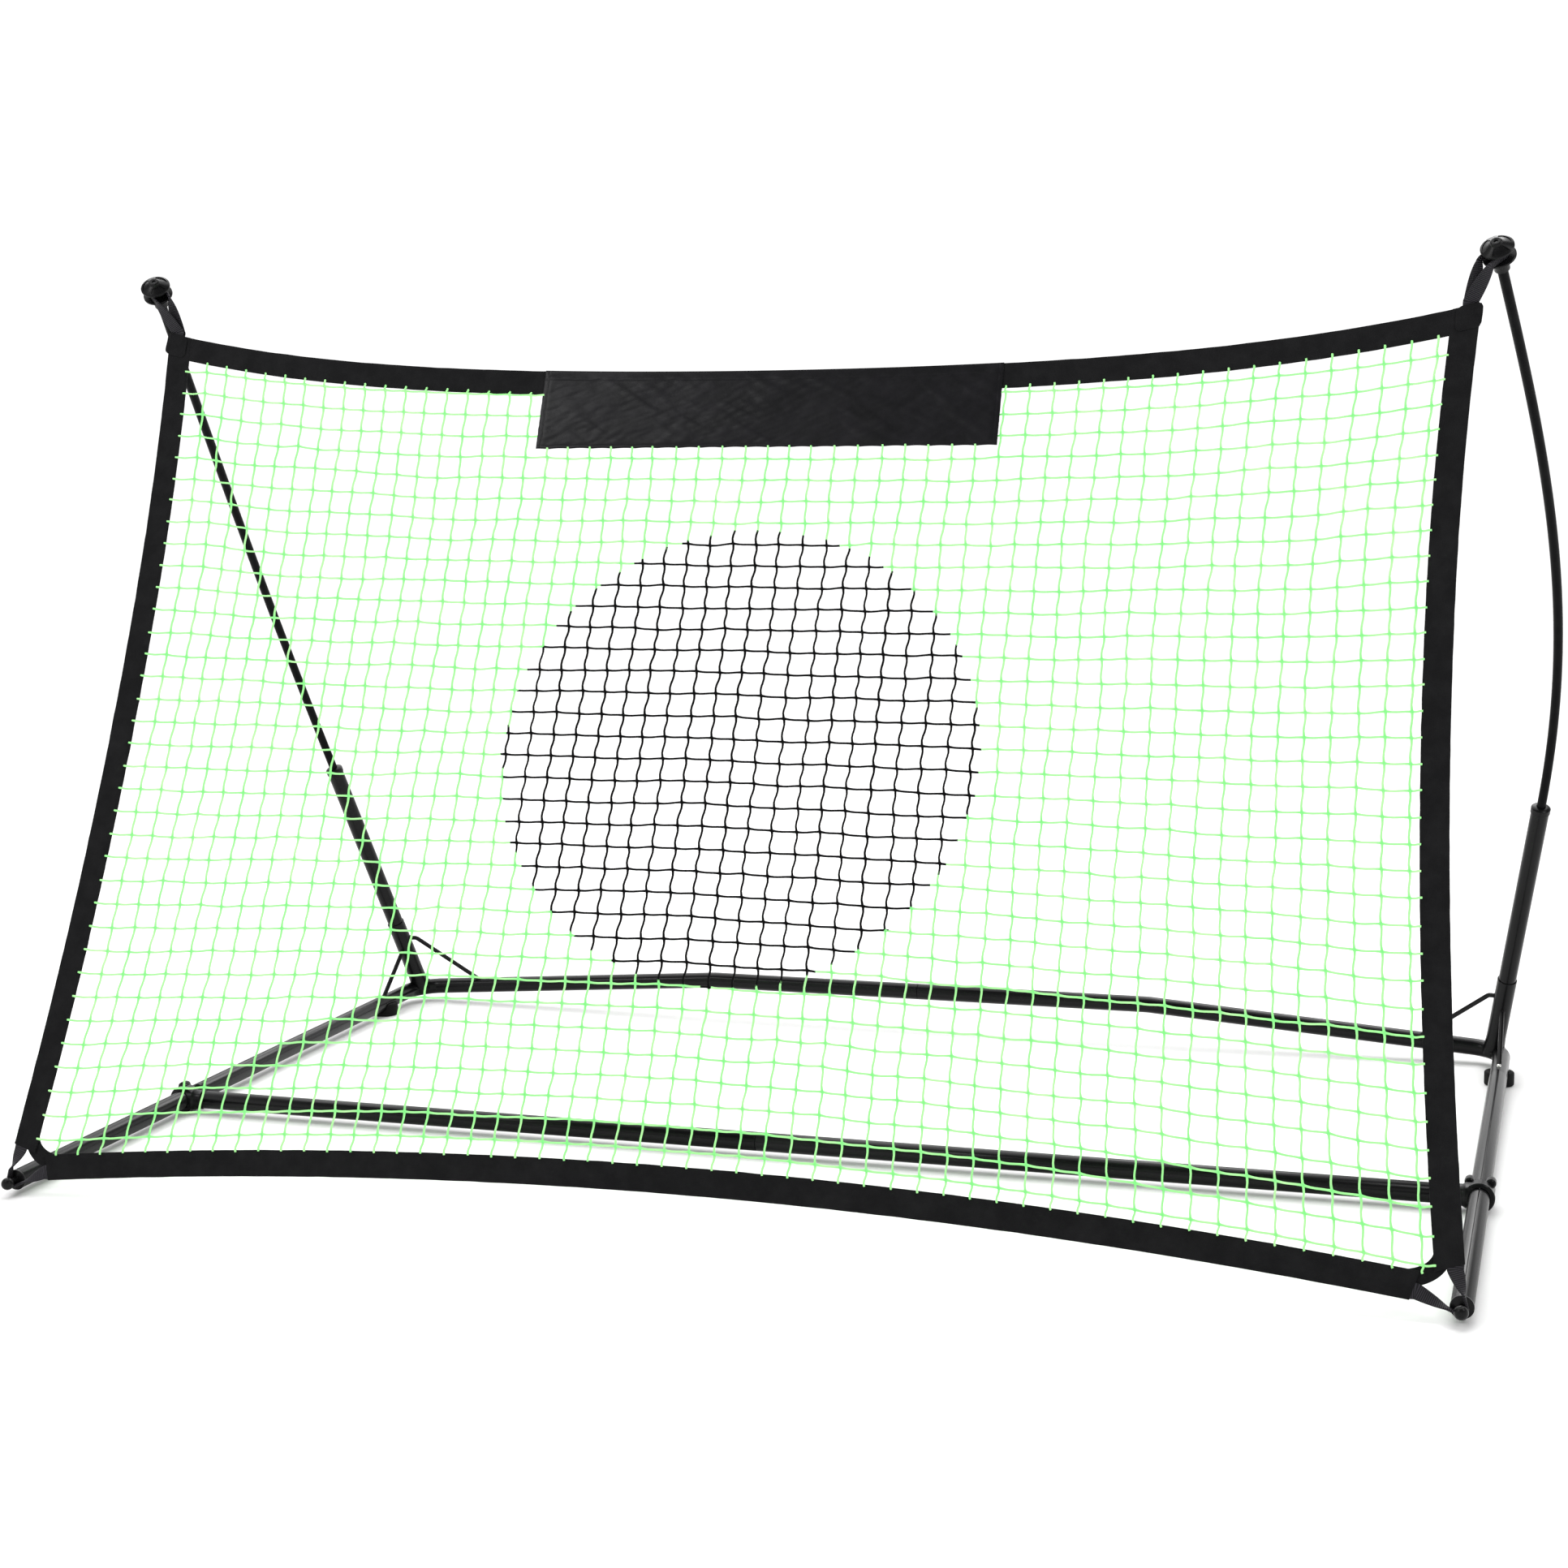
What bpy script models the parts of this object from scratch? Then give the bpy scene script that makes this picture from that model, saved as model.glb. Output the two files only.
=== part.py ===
# Soccer rebounder: a flat steel base, two bowed poles and a target net between them.
# Metres, +Z up. The net faces -Y, X runs across it, and the origin is under the middle of the base.

import bpy
import bmesh
import math
from mathutils import Matrix, Vector

# Clearances
SEAT = 0.0003            # between two pieces that touch
RUN = 0.0006             # between the crossbar's rings and the tubes they slide on
SIDES = 16               # facets round a tube or a turned piece

# Base frame
BASE_WIDTH = 1.800       # between the side tubes' axes
REAR_Y = 1.215           # rear bar's axis, from the front balls
SEAM_Y = 1.040           # where a side tube enters the rear corner
CROSSBAR_Y = 0.440
TUBE_D = 0.0254
WALL = 0.0012
ELBOW_R = 0.045
ARCH_HALF = 0.360        # half of the rear bar's raised middle
ARCH_RISE = 0.040
ARCH_BEND_R = 0.150
REAR_JOINT_X = -0.012
FRONT_JOINT_X = -0.035
SWAGE_L = 0.050          # tube end that is drawn down to enter the next tube
RIM_BEVEL = 0.0006

# Rubber feet under the rear corners
FOOT_BACK = 0.045        # behind the seam
FOOT_D = 0.043
FOOT_SOLE = 0.0075       # rubber left under the tube
FOOT_EDGE = 0.003

# Front end plugs, each with the ball that holds a webbing loop
PLUG_LIP = 0.0005        # the flange stands this far proud of the tube
PLUG_FLANGE_Y = 0.018
PLUG_FLANGE_T = 0.003
PLUG_SPIGOT_L = 0.022
BALL_D = 0.016
PLUG_NECK_D = 0.009

# Snap buttons that lock the side tubes
BUTTON_BACK = 0.022      # behind the seam
BUTTON_D = 0.0064
BUTTON_PROUD = 0.0032
BUTTON_DOME = 0.6        # height of the dome over the button's radius
BUTTON_HOLE_GAP = 0.0004
BUTTON_BASE_D = 0.0084
BUTTON_BASE_T = 0.001
SPRING_W = 0.007
SPRING_T = 0.0008
SPRING_L = 0.020

# Corner sockets, their braces and the uprights
UPRIGHT_LEAN = Vector((0.1400, -0.4007, 0.9055)).normalized()
UPRIGHT_L = 0.434        # from the corner's axis to the tube's top
UPRIGHT_SEAT = 0.022     # the tube's foot stops this far above the corner's axis
SOCKET_L = 0.1375
SOCKET_WALL = 0.0012
SOCKET_FLARE = 0.0024
SOCKET_FLARE_L = 0.022
BRACE_D = 0.007
REAR_BRACE_U = 0.1045    # along the socket
REAR_BRACE_X = 0.130     # along the rear bar, from the side tube's axis
REAR_BRACE_KNEE = 0.024
FRONT_BRACE_U = 0.0894
FRONT_BRACE_BACK = 0.030 # behind the seam

# Bowed poles
POLE_D = 0.0127
POLE_REACH = 0.325       # handle length of the bow at the upright's end
POLE_TIP = Vector((-0.0035, 0.460, 1.1425))   # from the side tube's axis, the balls and the ground
POLE_IN_TUBE = 0.100
POLE_IN_CAP = 0.016
POLE_STEPS = 22
COLLAR_LIP = 0.001
COLLAR_T = 0.003
COLLAR_CONE = 0.007
COLLAR_SPIGOT_L = 0.022

# Pole caps: two discs with a neck between them for the webbing
CAP_D = 0.040
CAP_RIM = 0.003
CAP_NECK_D = 0.019
CAP_NECK_L = 0.011
CAP_SLEEVE_D = 0.019
CAP_SLEEVE_L = 0.013
CAP_CONE = 0.0055
CAP_HUB_D = 0.015
CAP_HUB_H = 0.0035
CAP_SCREW_D = 0.0045
CAP_POCKETS = 3          # shallow pockets moulded in the cone
CAP_POCKET_R = (0.0095, 0.0172)
CAP_POCKET_ARC = math.radians(74)
CAP_POCKET_DEPTH = 0.001

# Crossbar clips
CLIP_WALL = 0.0042
CLIP_RING_L = 0.022
CLIP_BAND = 0.0012       # raised band at the ring's front end
CLIP_BAND_L = 0.008
CLIP_JAW_L = 0.020
CLIP_MOUTH = math.radians(100)
CLIP_LOBE_D = 0.009
CLIP_SHOULDER_L = 0.012
CLIP_SHOULDER_LIP = 0.001
CLIP_SPIGOT_L = 0.034
CLIP_ARM_FLARE = 0.0028  # the arm widens into the ring
CLIP_TAB_W = 0.0036      # rib over the ring's top
CLIP_TAB_H = 0.0007

# Net, measured up its own plane from the front balls' level
NET_FOOT_SET = 0.0074    # the plane's foot lies this far before the plug's neck
NET_HEAD_SET = 0.0265    # and its head this far behind the cap's neck
NET_DROP = 0.063         # from the cap's neck down to the top corner
WAIST_IN = 0.040         # the side edges draw in this far from the tubes' axes
WAIST_S = 0.797
FOOT_FLARE = 0.0478
HEAD_FLARE = 0.0151
TOP_SAG = 0.071
TOP_ROUNDNESS = 0.53     # share of the sag that follows a parabola
BOTTOM_RISE = 0.0546
HEM_W = 0.033
HEM_T = 0.003
SIDE_HEM_FOOT = 0.045
BOTTOM_HEM_END = 0.047   # from the side tube's axis
STRAND = 0.003
NET_COLUMNS = 20
NET_ROWS = 14
TARGET_W = 0.612
TARGET_H = 0.578
TARGET_S = 0.593
TARGET_X = 0.011
TARGET_GAP = 0.0006
BANNER_W = 0.612
BANNER_H = 0.104
BANNER_T = 0.001
WEB_W = 0.018
WEB_NECK_W = 0.0095      # folded in two where it goes round a neck
WEB_NECK_T = 0.003
WEB_T = 0.0015
WEB_SEAM = 0.012         # length sewn to the net
WEB_STEPS = 8
WEB_EXIT = 0.8           # how far out a leg passes the rim, in loop radii
WEB_CORNER = 0.013       # top webbing's middle from the net's corner
WEB_ON_HEM = 0.4         # bottom legs across the hem, from its outer edge
PATCH = 0.034
PATCH_PROUD = 0.0025     # past the hem's edge
STRIP_W = 0.012
STRIP_STEPS = 6

# Worked out from the sizes above
HALF = BASE_WIDTH / 2
FOOT_Y = SEAM_Y + FOOT_BACK
BUTTON_Y = SEAM_Y + BUTTON_BACK
TUBE_R = TUBE_D / 2
PLUG_R = TUBE_R + PLUG_LIP
RING_R = (TUBE_R + RUN) / math.cos(math.pi / SIDES) + CLIP_WALL
FOOT_H = FOOT_SOLE + SEAT + TUBE_R
SLOPE = (FOOT_H - RING_R - CLIP_BAND) / (FOOT_Y - CROSSBAR_Y)
FRONT_Z = FOOT_H - SLOPE * FOOT_Y    # the clip rings and the feet stand on the ground
REAR_Z = FRONT_Z + SLOPE * REAR_Y
ALONG = Vector((0, 1, SLOPE)).normalized()
UP = Vector((0, -SLOPE, 1)).normalized()
BORE_R = TUBE_R - WALL
SWAGE_R = BORE_R - SEAT
TUBE_START = PLUG_FLANGE_Y + PLUG_FLANGE_T + SEAT


def around(radius, sides=SIDES):
    """Corner radius of a faceted bore whose flats stand at this radius."""
    return radius / math.cos(math.pi / sides)


def collection(name):
    group = bpy.data.collections.new(name)
    bpy.context.scene.collection.children.link(group)
    return group


for old in list(bpy.data.objects):
    bpy.data.objects.remove(old, do_unlink=True)

PART = collection("soccer_rebounder")
CUTTERS = collection("cutters")

ROOT = bpy.data.objects.new("rebounder_origin", None)
PART.objects.link(ROOT)
CROSSBAR = bpy.data.objects.new("crossbar_slide", None)
PART.objects.link(CROSSBAR)
CROSSBAR.parent = ROOT
CROSSBAR.location = (0, CROSSBAR_Y, FRONT_Z + SLOPE * CROSSBAR_Y)

# Finishes: sRGB colour, roughness, metallic
FINISHES = {
    "black_powder_coat": ("#1d1d1e", 0.38, 0.3),
    "grey_painted_steel": ("#5e5f61", 0.35, 0.4),
    "black_rubber": ("#161616", 0.8, 0.0),
    "black_nylon": ("#1b1b1c", 0.45, 0.0),
    "black_fibreglass": ("#1c1c1d", 0.4, 0.0),
    "nickel_plate": ("#c9c9c6", 0.2, 1.0),
    "spring_steel": ("#8d8f90", 0.3, 1.0),
    "green_cord": ("#a6f08a", 0.75, 0.0),
    "black_cord": ("#141414", 0.8, 0.0),
    "black_polyester": ("#202021", 0.85, 0.0),
    "black_webbing": ("#26252a", 0.8, 0.0),
}


def linear(channel):
    return channel / 12.92 if channel <= 0.04045 else ((channel + 0.055) / 1.055) ** 2.4


def finish(obj, kind):
    """Give a sub-part its own material."""
    colour, roughness, metallic = FINISHES[kind]
    rgb = [linear(int(colour[k:k + 2], 16) / 255) for k in (1, 3, 5)]
    material = bpy.data.materials.new(obj.name + "_" + kind)
    material.use_nodes = True
    shader = material.node_tree.nodes["Principled BSDF"]
    shader.inputs["Base Color"].default_value = (*rgb, 1)
    shader.inputs["Roughness"].default_value = roughness
    shader.inputs["Metallic"].default_value = metallic
    material.diffuse_color = (*rgb, 1)
    obj.data.materials.clear()
    obj.data.materials.append(material)
    return obj


def frame_at(origin, direction):
    """Matrix with its Z along the direction."""
    turn = Vector(direction).to_track_quat("Z", "Y").to_matrix().to_4x4()
    return Matrix.Translation(origin) @ turn


def add(name, mesh, matrix=None, cutter=False):
    obj = bpy.data.objects.new(name, mesh)
    (CUTTERS if cutter else PART).objects.link(obj)
    obj.parent = ROOT
    if matrix is not None:
        obj.matrix_basis = matrix
    if cutter:
        obj.hide_render = True
        obj.display_type = "WIRE"
    return obj


def turned(name, outline, matrix, closed=False, sides=SIDES, cutter=False):
    """Turn an outline of (radius, height) points, top to bottom on its outer side."""
    mesh = bpy.data.meshes.new(name)
    count = len(outline)
    edges = [(k, k + 1) for k in range(count - 1)]
    if closed:
        edges.append((count - 1, 0))
    mesh.from_pydata([(radius, 0, height) for radius, height in outline], edges, [])
    obj = add(name, mesh, matrix, cutter)
    screw = obj.modifiers.new("turn", "SCREW")
    screw.steps = sides
    screw.render_steps = sides
    screw.use_merge_vertices = True
    screw.merge_threshold = 0.00001
    screw.use_smooth_shade = False
    weld = obj.modifiers.new("weld", "WELD")
    weld.merge_threshold = 0.00001
    return obj


def rounded_shading(mesh, degrees=40):
    mesh.shade_smooth()
    mesh.set_sharp_from_angle(angle=math.radians(degrees))


def swept(name, points, radii, sides=SIDES, cutter=False):
    """Round bar along a polyline, with a radius at each point."""
    curve = bpy.data.curves.new(name, "CURVE")
    curve.dimensions = "3D"
    curve.twist_mode = "MINIMUM"
    curve.bevel_depth = max(radii)
    curve.bevel_resolution = sides // 2 - 2
    curve.use_fill_caps = True
    spline = curve.splines.new("POLY")
    spline.points.add(len(points) - 1)
    for knot, point, radius in zip(spline.points, points, radii):
        knot.co = (*point, 1)
        knot.radius = radius / max(radii)
    guide = bpy.data.objects.new(name + "_path", curve)
    PART.objects.link(guide)
    bpy.context.view_layer.update()
    graph = bpy.context.evaluated_depsgraph_get()
    mesh = bpy.data.meshes.new_from_object(guide.evaluated_get(graph))
    bpy.data.objects.remove(guide, do_unlink=True)
    bpy.data.curves.remove(curve)
    mesh.name = name
    shape = bmesh.new()
    shape.from_mesh(mesh)
    bmesh.ops.remove_doubles(shape, verts=shape.verts, dist=0.000001)
    bmesh.ops.recalc_face_normals(shape, faces=shape.faces)
    shape.to_mesh(mesh)
    shape.free()
    rounded_shading(mesh)
    return add(name, mesh, None, cutter)


def lofted(name, sections, cutter=False):
    """Skin a row of four-sided sections and close both ends."""
    shape = bmesh.new()
    rings = [[shape.verts.new(point) for point in section] for section in sections]
    for one, two in zip(rings, rings[1:]):
        for k in range(4):
            shape.faces.new((one[k], one[(k + 1) % 4], two[(k + 1) % 4], two[k]))
    shape.faces.new(rings[0])
    shape.faces.new(rings[-1])
    bmesh.ops.recalc_face_normals(shape, faces=shape.faces)
    mesh = bpy.data.meshes.new(name)
    shape.to_mesh(mesh)
    shape.free()
    return add(name, mesh, None, cutter)


def band(name, stations):
    """Flat band through stations of (point, direction across the band, width, thickness)."""
    sections = []
    for k, (point, across, width, thickness) in enumerate(stations):
        before = stations[max(k - 1, 0)][0]
        after = stations[min(k + 1, len(stations) - 1)][0]
        ahead = (after - before).normalized()
        across = (across - across.dot(ahead) * ahead).normalized() * width / 2
        through = ahead.cross(across).normalized() * thickness / 2
        sections.append([point + across + through, point - across + through,
                         point - across - through, point + across - through])
    return lofted(name, sections)


def boolean(obj, tool, operation="DIFFERENCE"):
    step = obj.modifiers.new(operation.lower(), "BOOLEAN")
    step.operation = operation
    step.object = tool
    step.solver = "EXACT"
    return obj


def fillet(points, radii, steps):
    """Round a polyline's inner corners with arcs."""
    path = [points[0]]
    for k in range(1, len(points) - 1):
        corner = points[k]
        back = (points[k - 1] - corner).normalized()
        on = (points[k + 1] - corner).normalized()
        half = back.angle(on) / 2
        centre = corner + (back + on).normalized() * radii[k - 1] / math.sin(half)
        start = corner + back * radii[k - 1] / math.tan(half) - centre
        end = corner + on * radii[k - 1] / math.tan(half) - centre
        arc = steps[k - 1]
        path += [centre + start.normalized().slerp(end.normalized(), n / arc) * radii[k - 1]
                 for n in range(arc + 1)]
    path.append(points[-1])
    return path


def tube_axis(y, side):
    """Point on a side tube's axis."""
    return Vector((side * HALF, y, FRONT_Z + SLOPE * y))


def corner_point(side):
    """Middle of the rear corner's bend, where the upright stands."""
    inset = ELBOW_R * (1 - math.sqrt(0.5))
    return Vector((side * (HALF - inset), REAR_Y - inset, REAR_Z))


def lean(side):
    return Vector((side * UPRIGHT_LEAN.x, UPRIGHT_LEAN.y, UPRIGHT_LEAN.z))


def rear_bar_z(x):
    """Height of the rear bar's axis."""
    rise = min(1, max(0, (HALF - abs(x)) / (HALF - ARCH_HALF)))
    return REAR_Z + ARCH_RISE * rise


def rear_path(side, start_y, end_x):
    """Axis of a rear corner and its half of the rear bar."""
    knots = [tube_axis(start_y, side), Vector((side * HALF, REAR_Y, REAR_Z)),
             Vector((side * ARCH_HALF, REAR_Y, REAR_Z + ARCH_RISE)),
             Vector((end_x, REAR_Y, REAR_Z + ARCH_RISE))]
    return fillet(knots, (ELBOW_R, ARCH_BEND_R), (8, 2))


def drawn_end(point, ahead):
    """Points and radii of a tube end that steps down to enter its neighbour."""
    steps = ((0, TUBE_R - RIM_BEVEL), (SEAT, SWAGE_R), (SWAGE_L, SWAGE_R))
    return [(point + ahead * along, radius) for along, radius in steps]


def open_end(point, ahead):
    """Points and radii of a tube end that takes its neighbour."""
    return [(point - ahead * SEAT, TUBE_R - RIM_BEVEL)]


def hollow_bar(name, path, male, kind):
    """Tube along a path whose last end enters its neighbour, or takes it."""
    ahead = (path[-1] - path[-2]).normalized()
    end = drawn_end(path[-1], ahead) if male else open_end(path[-1], ahead)
    rim = [(path[-1] - ahead * (RIM_BEVEL + SEAT), TUBE_R)]
    outer = [(point, TUBE_R) for point in path[:-1]] + rim + end
    bar = swept(name, [p for p, r in outer], [r for p, r in outer])
    back = (path[0] - path[1]).normalized()
    bore_r = SWAGE_R - WALL if male else BORE_R
    first = path[0] + back * SWAGE_L
    last = path[-1] + ahead * (SWAGE_L * 2 if male else SWAGE_L)
    if male:
        # The bore narrows just before the drawn end
        neck = path[-1] - ahead * SWAGE_L / 2
        inner = [(first, around(BORE_R))] + [(point, around(BORE_R)) for point in path[1:-1]]
        inner += [(neck, around(BORE_R)), (neck + ahead * WALL, bore_r), (last, bore_r)]
    else:
        inner = [(first, around(BORE_R))] + [(point, around(BORE_R)) for point in path[1:-1]]
        inner.append((last, around(BORE_R)))
    bore = swept(name + "_bore", [p for p, r in inner], [r for p, r in inner], cutter=True)
    boolean(bar, bore)
    return finish(bar, kind)


def button_hole(side, tag):
    """Drill for a snap button, through the top walls only."""
    radius = BUTTON_D / 2 + BUTTON_HOLE_GAP
    place = frame_at(tube_axis(BUTTON_Y, side), UP)
    outline = [(0, TUBE_D), (radius, TUBE_D), (radius, TUBE_R / 2), (0, TUBE_R / 2)]
    return turned("button_drill_" + tag, outline, place, sides=12, cutter=True)


def rear_bar(side, tag, drill):
    """Bent corner and half of the arched rear bar."""
    path = rear_path(side, SEAM_Y + SEAT, REAR_JOINT_X)
    bar = hollow_bar("rear_bar_" + tag, path, side > 0, "black_powder_coat")
    return boolean(bar, drill)


def side_tube(side, tag, drill):
    """Straight tube from the end plug to the rear corner."""
    length = SEAM_Y - TUBE_START
    inner = around(BORE_R)
    tip = SWAGE_R - WALL
    outline = [(SWAGE_R, length + SWAGE_L), (SWAGE_R, length + SEAT),
               (TUBE_R - RIM_BEVEL, length), (TUBE_R, length - RIM_BEVEL), (TUBE_R, 0),
               (inner, 0), (inner, length - SWAGE_L / 2), (tip, length - SWAGE_L / 4),
               (tip, length + SWAGE_L)]
    tube = turned("side_tube_" + tag, outline, frame_at(tube_axis(TUBE_START, side), ALONG), closed=True)
    return finish(boolean(tube, drill), "grey_painted_steel")


def foot(side, tag):
    """Rubber puck, saddled to the tube that stands in it."""
    radius = FOOT_D / 2
    outline = [(0, FOOT_H), (radius - FOOT_EDGE, FOOT_H), (radius, FOOT_H - FOOT_EDGE),
               (radius, FOOT_EDGE), (radius - FOOT_EDGE, 0), (0, 0)]
    place = Matrix.Translation((side * HALF, FOOT_Y, 0))
    puck = turned("foot_" + tag, outline, place, sides=20)
    groove_r = around(TUBE_R + SEAT)
    ends = [tube_axis(FOOT_Y - FOOT_D, side), tube_axis(FOOT_Y + FOOT_D, side)]
    groove = swept("foot_groove_" + tag, ends, [groove_r] * 2, cutter=True)
    return finish(boolean(puck, groove), "black_rubber")


def ball_outline(radius, neck_r, steps=6):
    """Outline of a ball from its neck round to its far pole."""
    start = math.asin(neck_r / radius)
    turn = (math.pi - start) / steps
    angles = [start + n * turn for n in range(steps)]
    return [(radius * math.sin(a), radius * math.cos(a)) for a in angles] + [(0, -radius)]


def end_plug(side, tag):
    """Plug with a flange, a neck and the ball in front of it."""
    back = TUBE_START - SEAT
    spigot = SWAGE_R
    neck = PLUG_NECK_D / 2
    outline = [(0, back + PLUG_SPIGOT_L), (spigot - RIM_BEVEL, back + PLUG_SPIGOT_L),
               (spigot, back + PLUG_SPIGOT_L - RIM_BEVEL), (spigot, back), (PLUG_R, back),
               (PLUG_R, PLUG_FLANGE_Y + RIM_BEVEL), (PLUG_R - RIM_BEVEL, PLUG_FLANGE_Y),
               (neck, PLUG_FLANGE_Y)]
    outline += ball_outline(BALL_D / 2, neck)
    return finish(turned("end_plug_" + tag, outline, frame_at(tube_axis(0, side), ALONG)), "black_nylon")


def snap_button(side, tag):
    """Domed button on its base, which the leaf spring holds against the drawn tube."""
    radius = BUTTON_D / 2
    base_r = BUTTON_BASE_D / 2
    top = TUBE_R + BUTTON_PROUD
    seat = math.sqrt((SWAGE_R - WALL) ** 2 - base_r ** 2) - SEAT
    dome = [(radius * math.sin(a), top - radius * (1 - math.cos(a)) * BUTTON_DOME) for a in
            [math.radians(k * 22.5) for k in range(5)]]
    under = seat - BUTTON_BASE_T
    outline = dome + [(radius, seat), (base_r, seat), (base_r, under), (0, under)]
    obj = turned("snap_button_" + tag, outline, frame_at(tube_axis(BUTTON_Y, side), UP), sides=12)
    return finish(obj, "nickel_plate")


def button_spring(side, tag):
    """Leaf spring, bent to a U inside the drawn end of the side tube."""
    origin = tube_axis(BUTTON_Y, side)
    half_base = math.sqrt((SWAGE_R - WALL) ** 2 - (BUTTON_BASE_D / 2) ** 2)
    top = half_base - 2 * SEAT - BUTTON_BASE_T - SPRING_T / 2
    bottom = -math.sqrt((SWAGE_R - WALL) ** 2 - (SPRING_W / 2) ** 2) + SEAT + SPRING_T
    bend_r = (top - bottom) / 2
    middle = (top + bottom) / 2
    profile = [(BUTTON_BASE_D / 2, top), (-SPRING_L, top)]
    profile += [(-SPRING_L - bend_r * math.sin(math.pi * n / 6), middle + bend_r * math.cos(math.pi * n / 6))
                for n in range(1, 6)]
    profile += [(-SPRING_L, bottom), (BUTTON_BASE_D / 2, bottom)]
    stations = [(origin + ALONG * along + UP * height, Vector((1, 0, 0)), SPRING_W, SPRING_T)
                for along, height in profile]
    return finish(band("button_spring_" + tag, stations), "spring_steel")


def socket(side, tag, corner):
    """Short tube welded on the corner, coped over its bend."""
    inner = around(TUBE_R + SEAT)
    outer = TUBE_R + SEAT + SOCKET_WALL
    outline = [(outer - RIM_BEVEL, SOCKET_L), (outer, SOCKET_L - RIM_BEVEL), (outer, SOCKET_FLARE_L),
               (outer + SOCKET_FLARE, 0), (inner, 0), (inner, SOCKET_L)]
    obj = turned("socket_" + tag, outline, frame_at(corner_point(side), lean(side)), closed=True)
    return finish(boolean(obj, corner), "black_powder_coat")


def braces(side, tag, corner, plug):
    """Two rods that tie the socket to the rear bar and to the side tube."""
    foot_point = corner_point(side)
    high = foot_point + lean(side) * REAR_BRACE_U
    land = Vector((side * (HALF - REAR_BRACE_X), REAR_Y, rear_bar_z(HALF - REAR_BRACE_X)))
    flat = Vector((land.x - high.x, land.y - high.y, 0)).normalized()
    knee = high + flat * REAR_BRACE_KNEE
    low = tube_axis(SEAM_Y + FRONT_BRACE_BACK, side)
    start = foot_point + lean(side) * FRONT_BRACE_U
    for name, route in (("rear_brace_", [high, knee, land]), ("front_brace_", [start, low])):
        rod = swept(name + tag, route, [BRACE_D / 2] * len(route), sides=8)
        boolean(rod, corner)
        boolean(rod, plug)
        finish(rod, "black_powder_coat")


def upright(side, tag):
    """Straight steel tube in the socket."""
    length = UPRIGHT_L - UPRIGHT_SEAT
    inner = around(BORE_R)
    outline = [(TUBE_R, length), (TUBE_R, 0), (inner, 0), (inner, length)]
    place = frame_at(corner_point(side) + lean(side) * UPRIGHT_SEAT, lean(side))
    return finish(turned("upright_tube_" + tag, outline, place, closed=True), "black_powder_coat")


def collar(side, tag):
    """Plastic bush that centres the pole in the upright."""
    hole = around(POLE_D / 2 + SEAT)
    lip = TUBE_R + COLLAR_LIP
    outline = [(hole + RIM_BEVEL, SEAT + COLLAR_T + COLLAR_CONE), (lip - RIM_BEVEL, SEAT + COLLAR_T),
               (lip, SEAT + COLLAR_T - RIM_BEVEL), (lip, SEAT), (SWAGE_R, SEAT),
               (SWAGE_R, SEAT - COLLAR_SPIGOT_L), (hole, SEAT - COLLAR_SPIGOT_L),
               (hole, SEAT + COLLAR_T + COLLAR_CONE)]
    place = frame_at(corner_point(side) + lean(side) * UPRIGHT_L, lean(side))
    return finish(turned("tube_collar_" + tag, outline, place, closed=True), "black_nylon")


def pole_bow(side):
    """Pole's foot, its tip and the handles of the bow between them."""
    foot_point = corner_point(side) + lean(side) * (UPRIGHT_L + COLLAR_T + COLLAR_CONE)
    tip = Vector((side * (HALF + POLE_TIP.x), POLE_TIP.y, POLE_TIP.z))
    low_handle = foot_point + lean(side) * POLE_REACH
    return foot_point, low_handle, (low_handle + tip) / 2, tip


def tip_frame(side):
    """Pole tip and the direction it points in."""
    foot_point, low, high, tip = pole_bow(side)
    return tip, (tip - high).normalized()


def pole(side, tag):
    """Fibreglass rod, straight in the upright and bowed to its cap."""
    a, b, c, d = pole_bow(side)
    points = [a - lean(side) * POLE_IN_TUBE]
    for n in range(POLE_STEPS + 1):
        t = n / POLE_STEPS
        points.append((1 - t) ** 3 * a + 3 * (1 - t) ** 2 * t * b + 3 * (1 - t) * t * t * c + t ** 3 * d)
    points.append(d + tip_frame(side)[1] * POLE_IN_CAP)
    return finish(swept("pole_" + tag, points, [POLE_D / 2] * len(points), sides=8), "black_fibreglass")


def cap_levels():
    """Heights above the pole's tip of the lower disc, the neck and the upper disc."""
    lower = CAP_SLEEVE_L + CAP_CONE
    neck = lower + CAP_RIM
    upper = neck + CAP_NECK_L
    return lower, neck, upper


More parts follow.
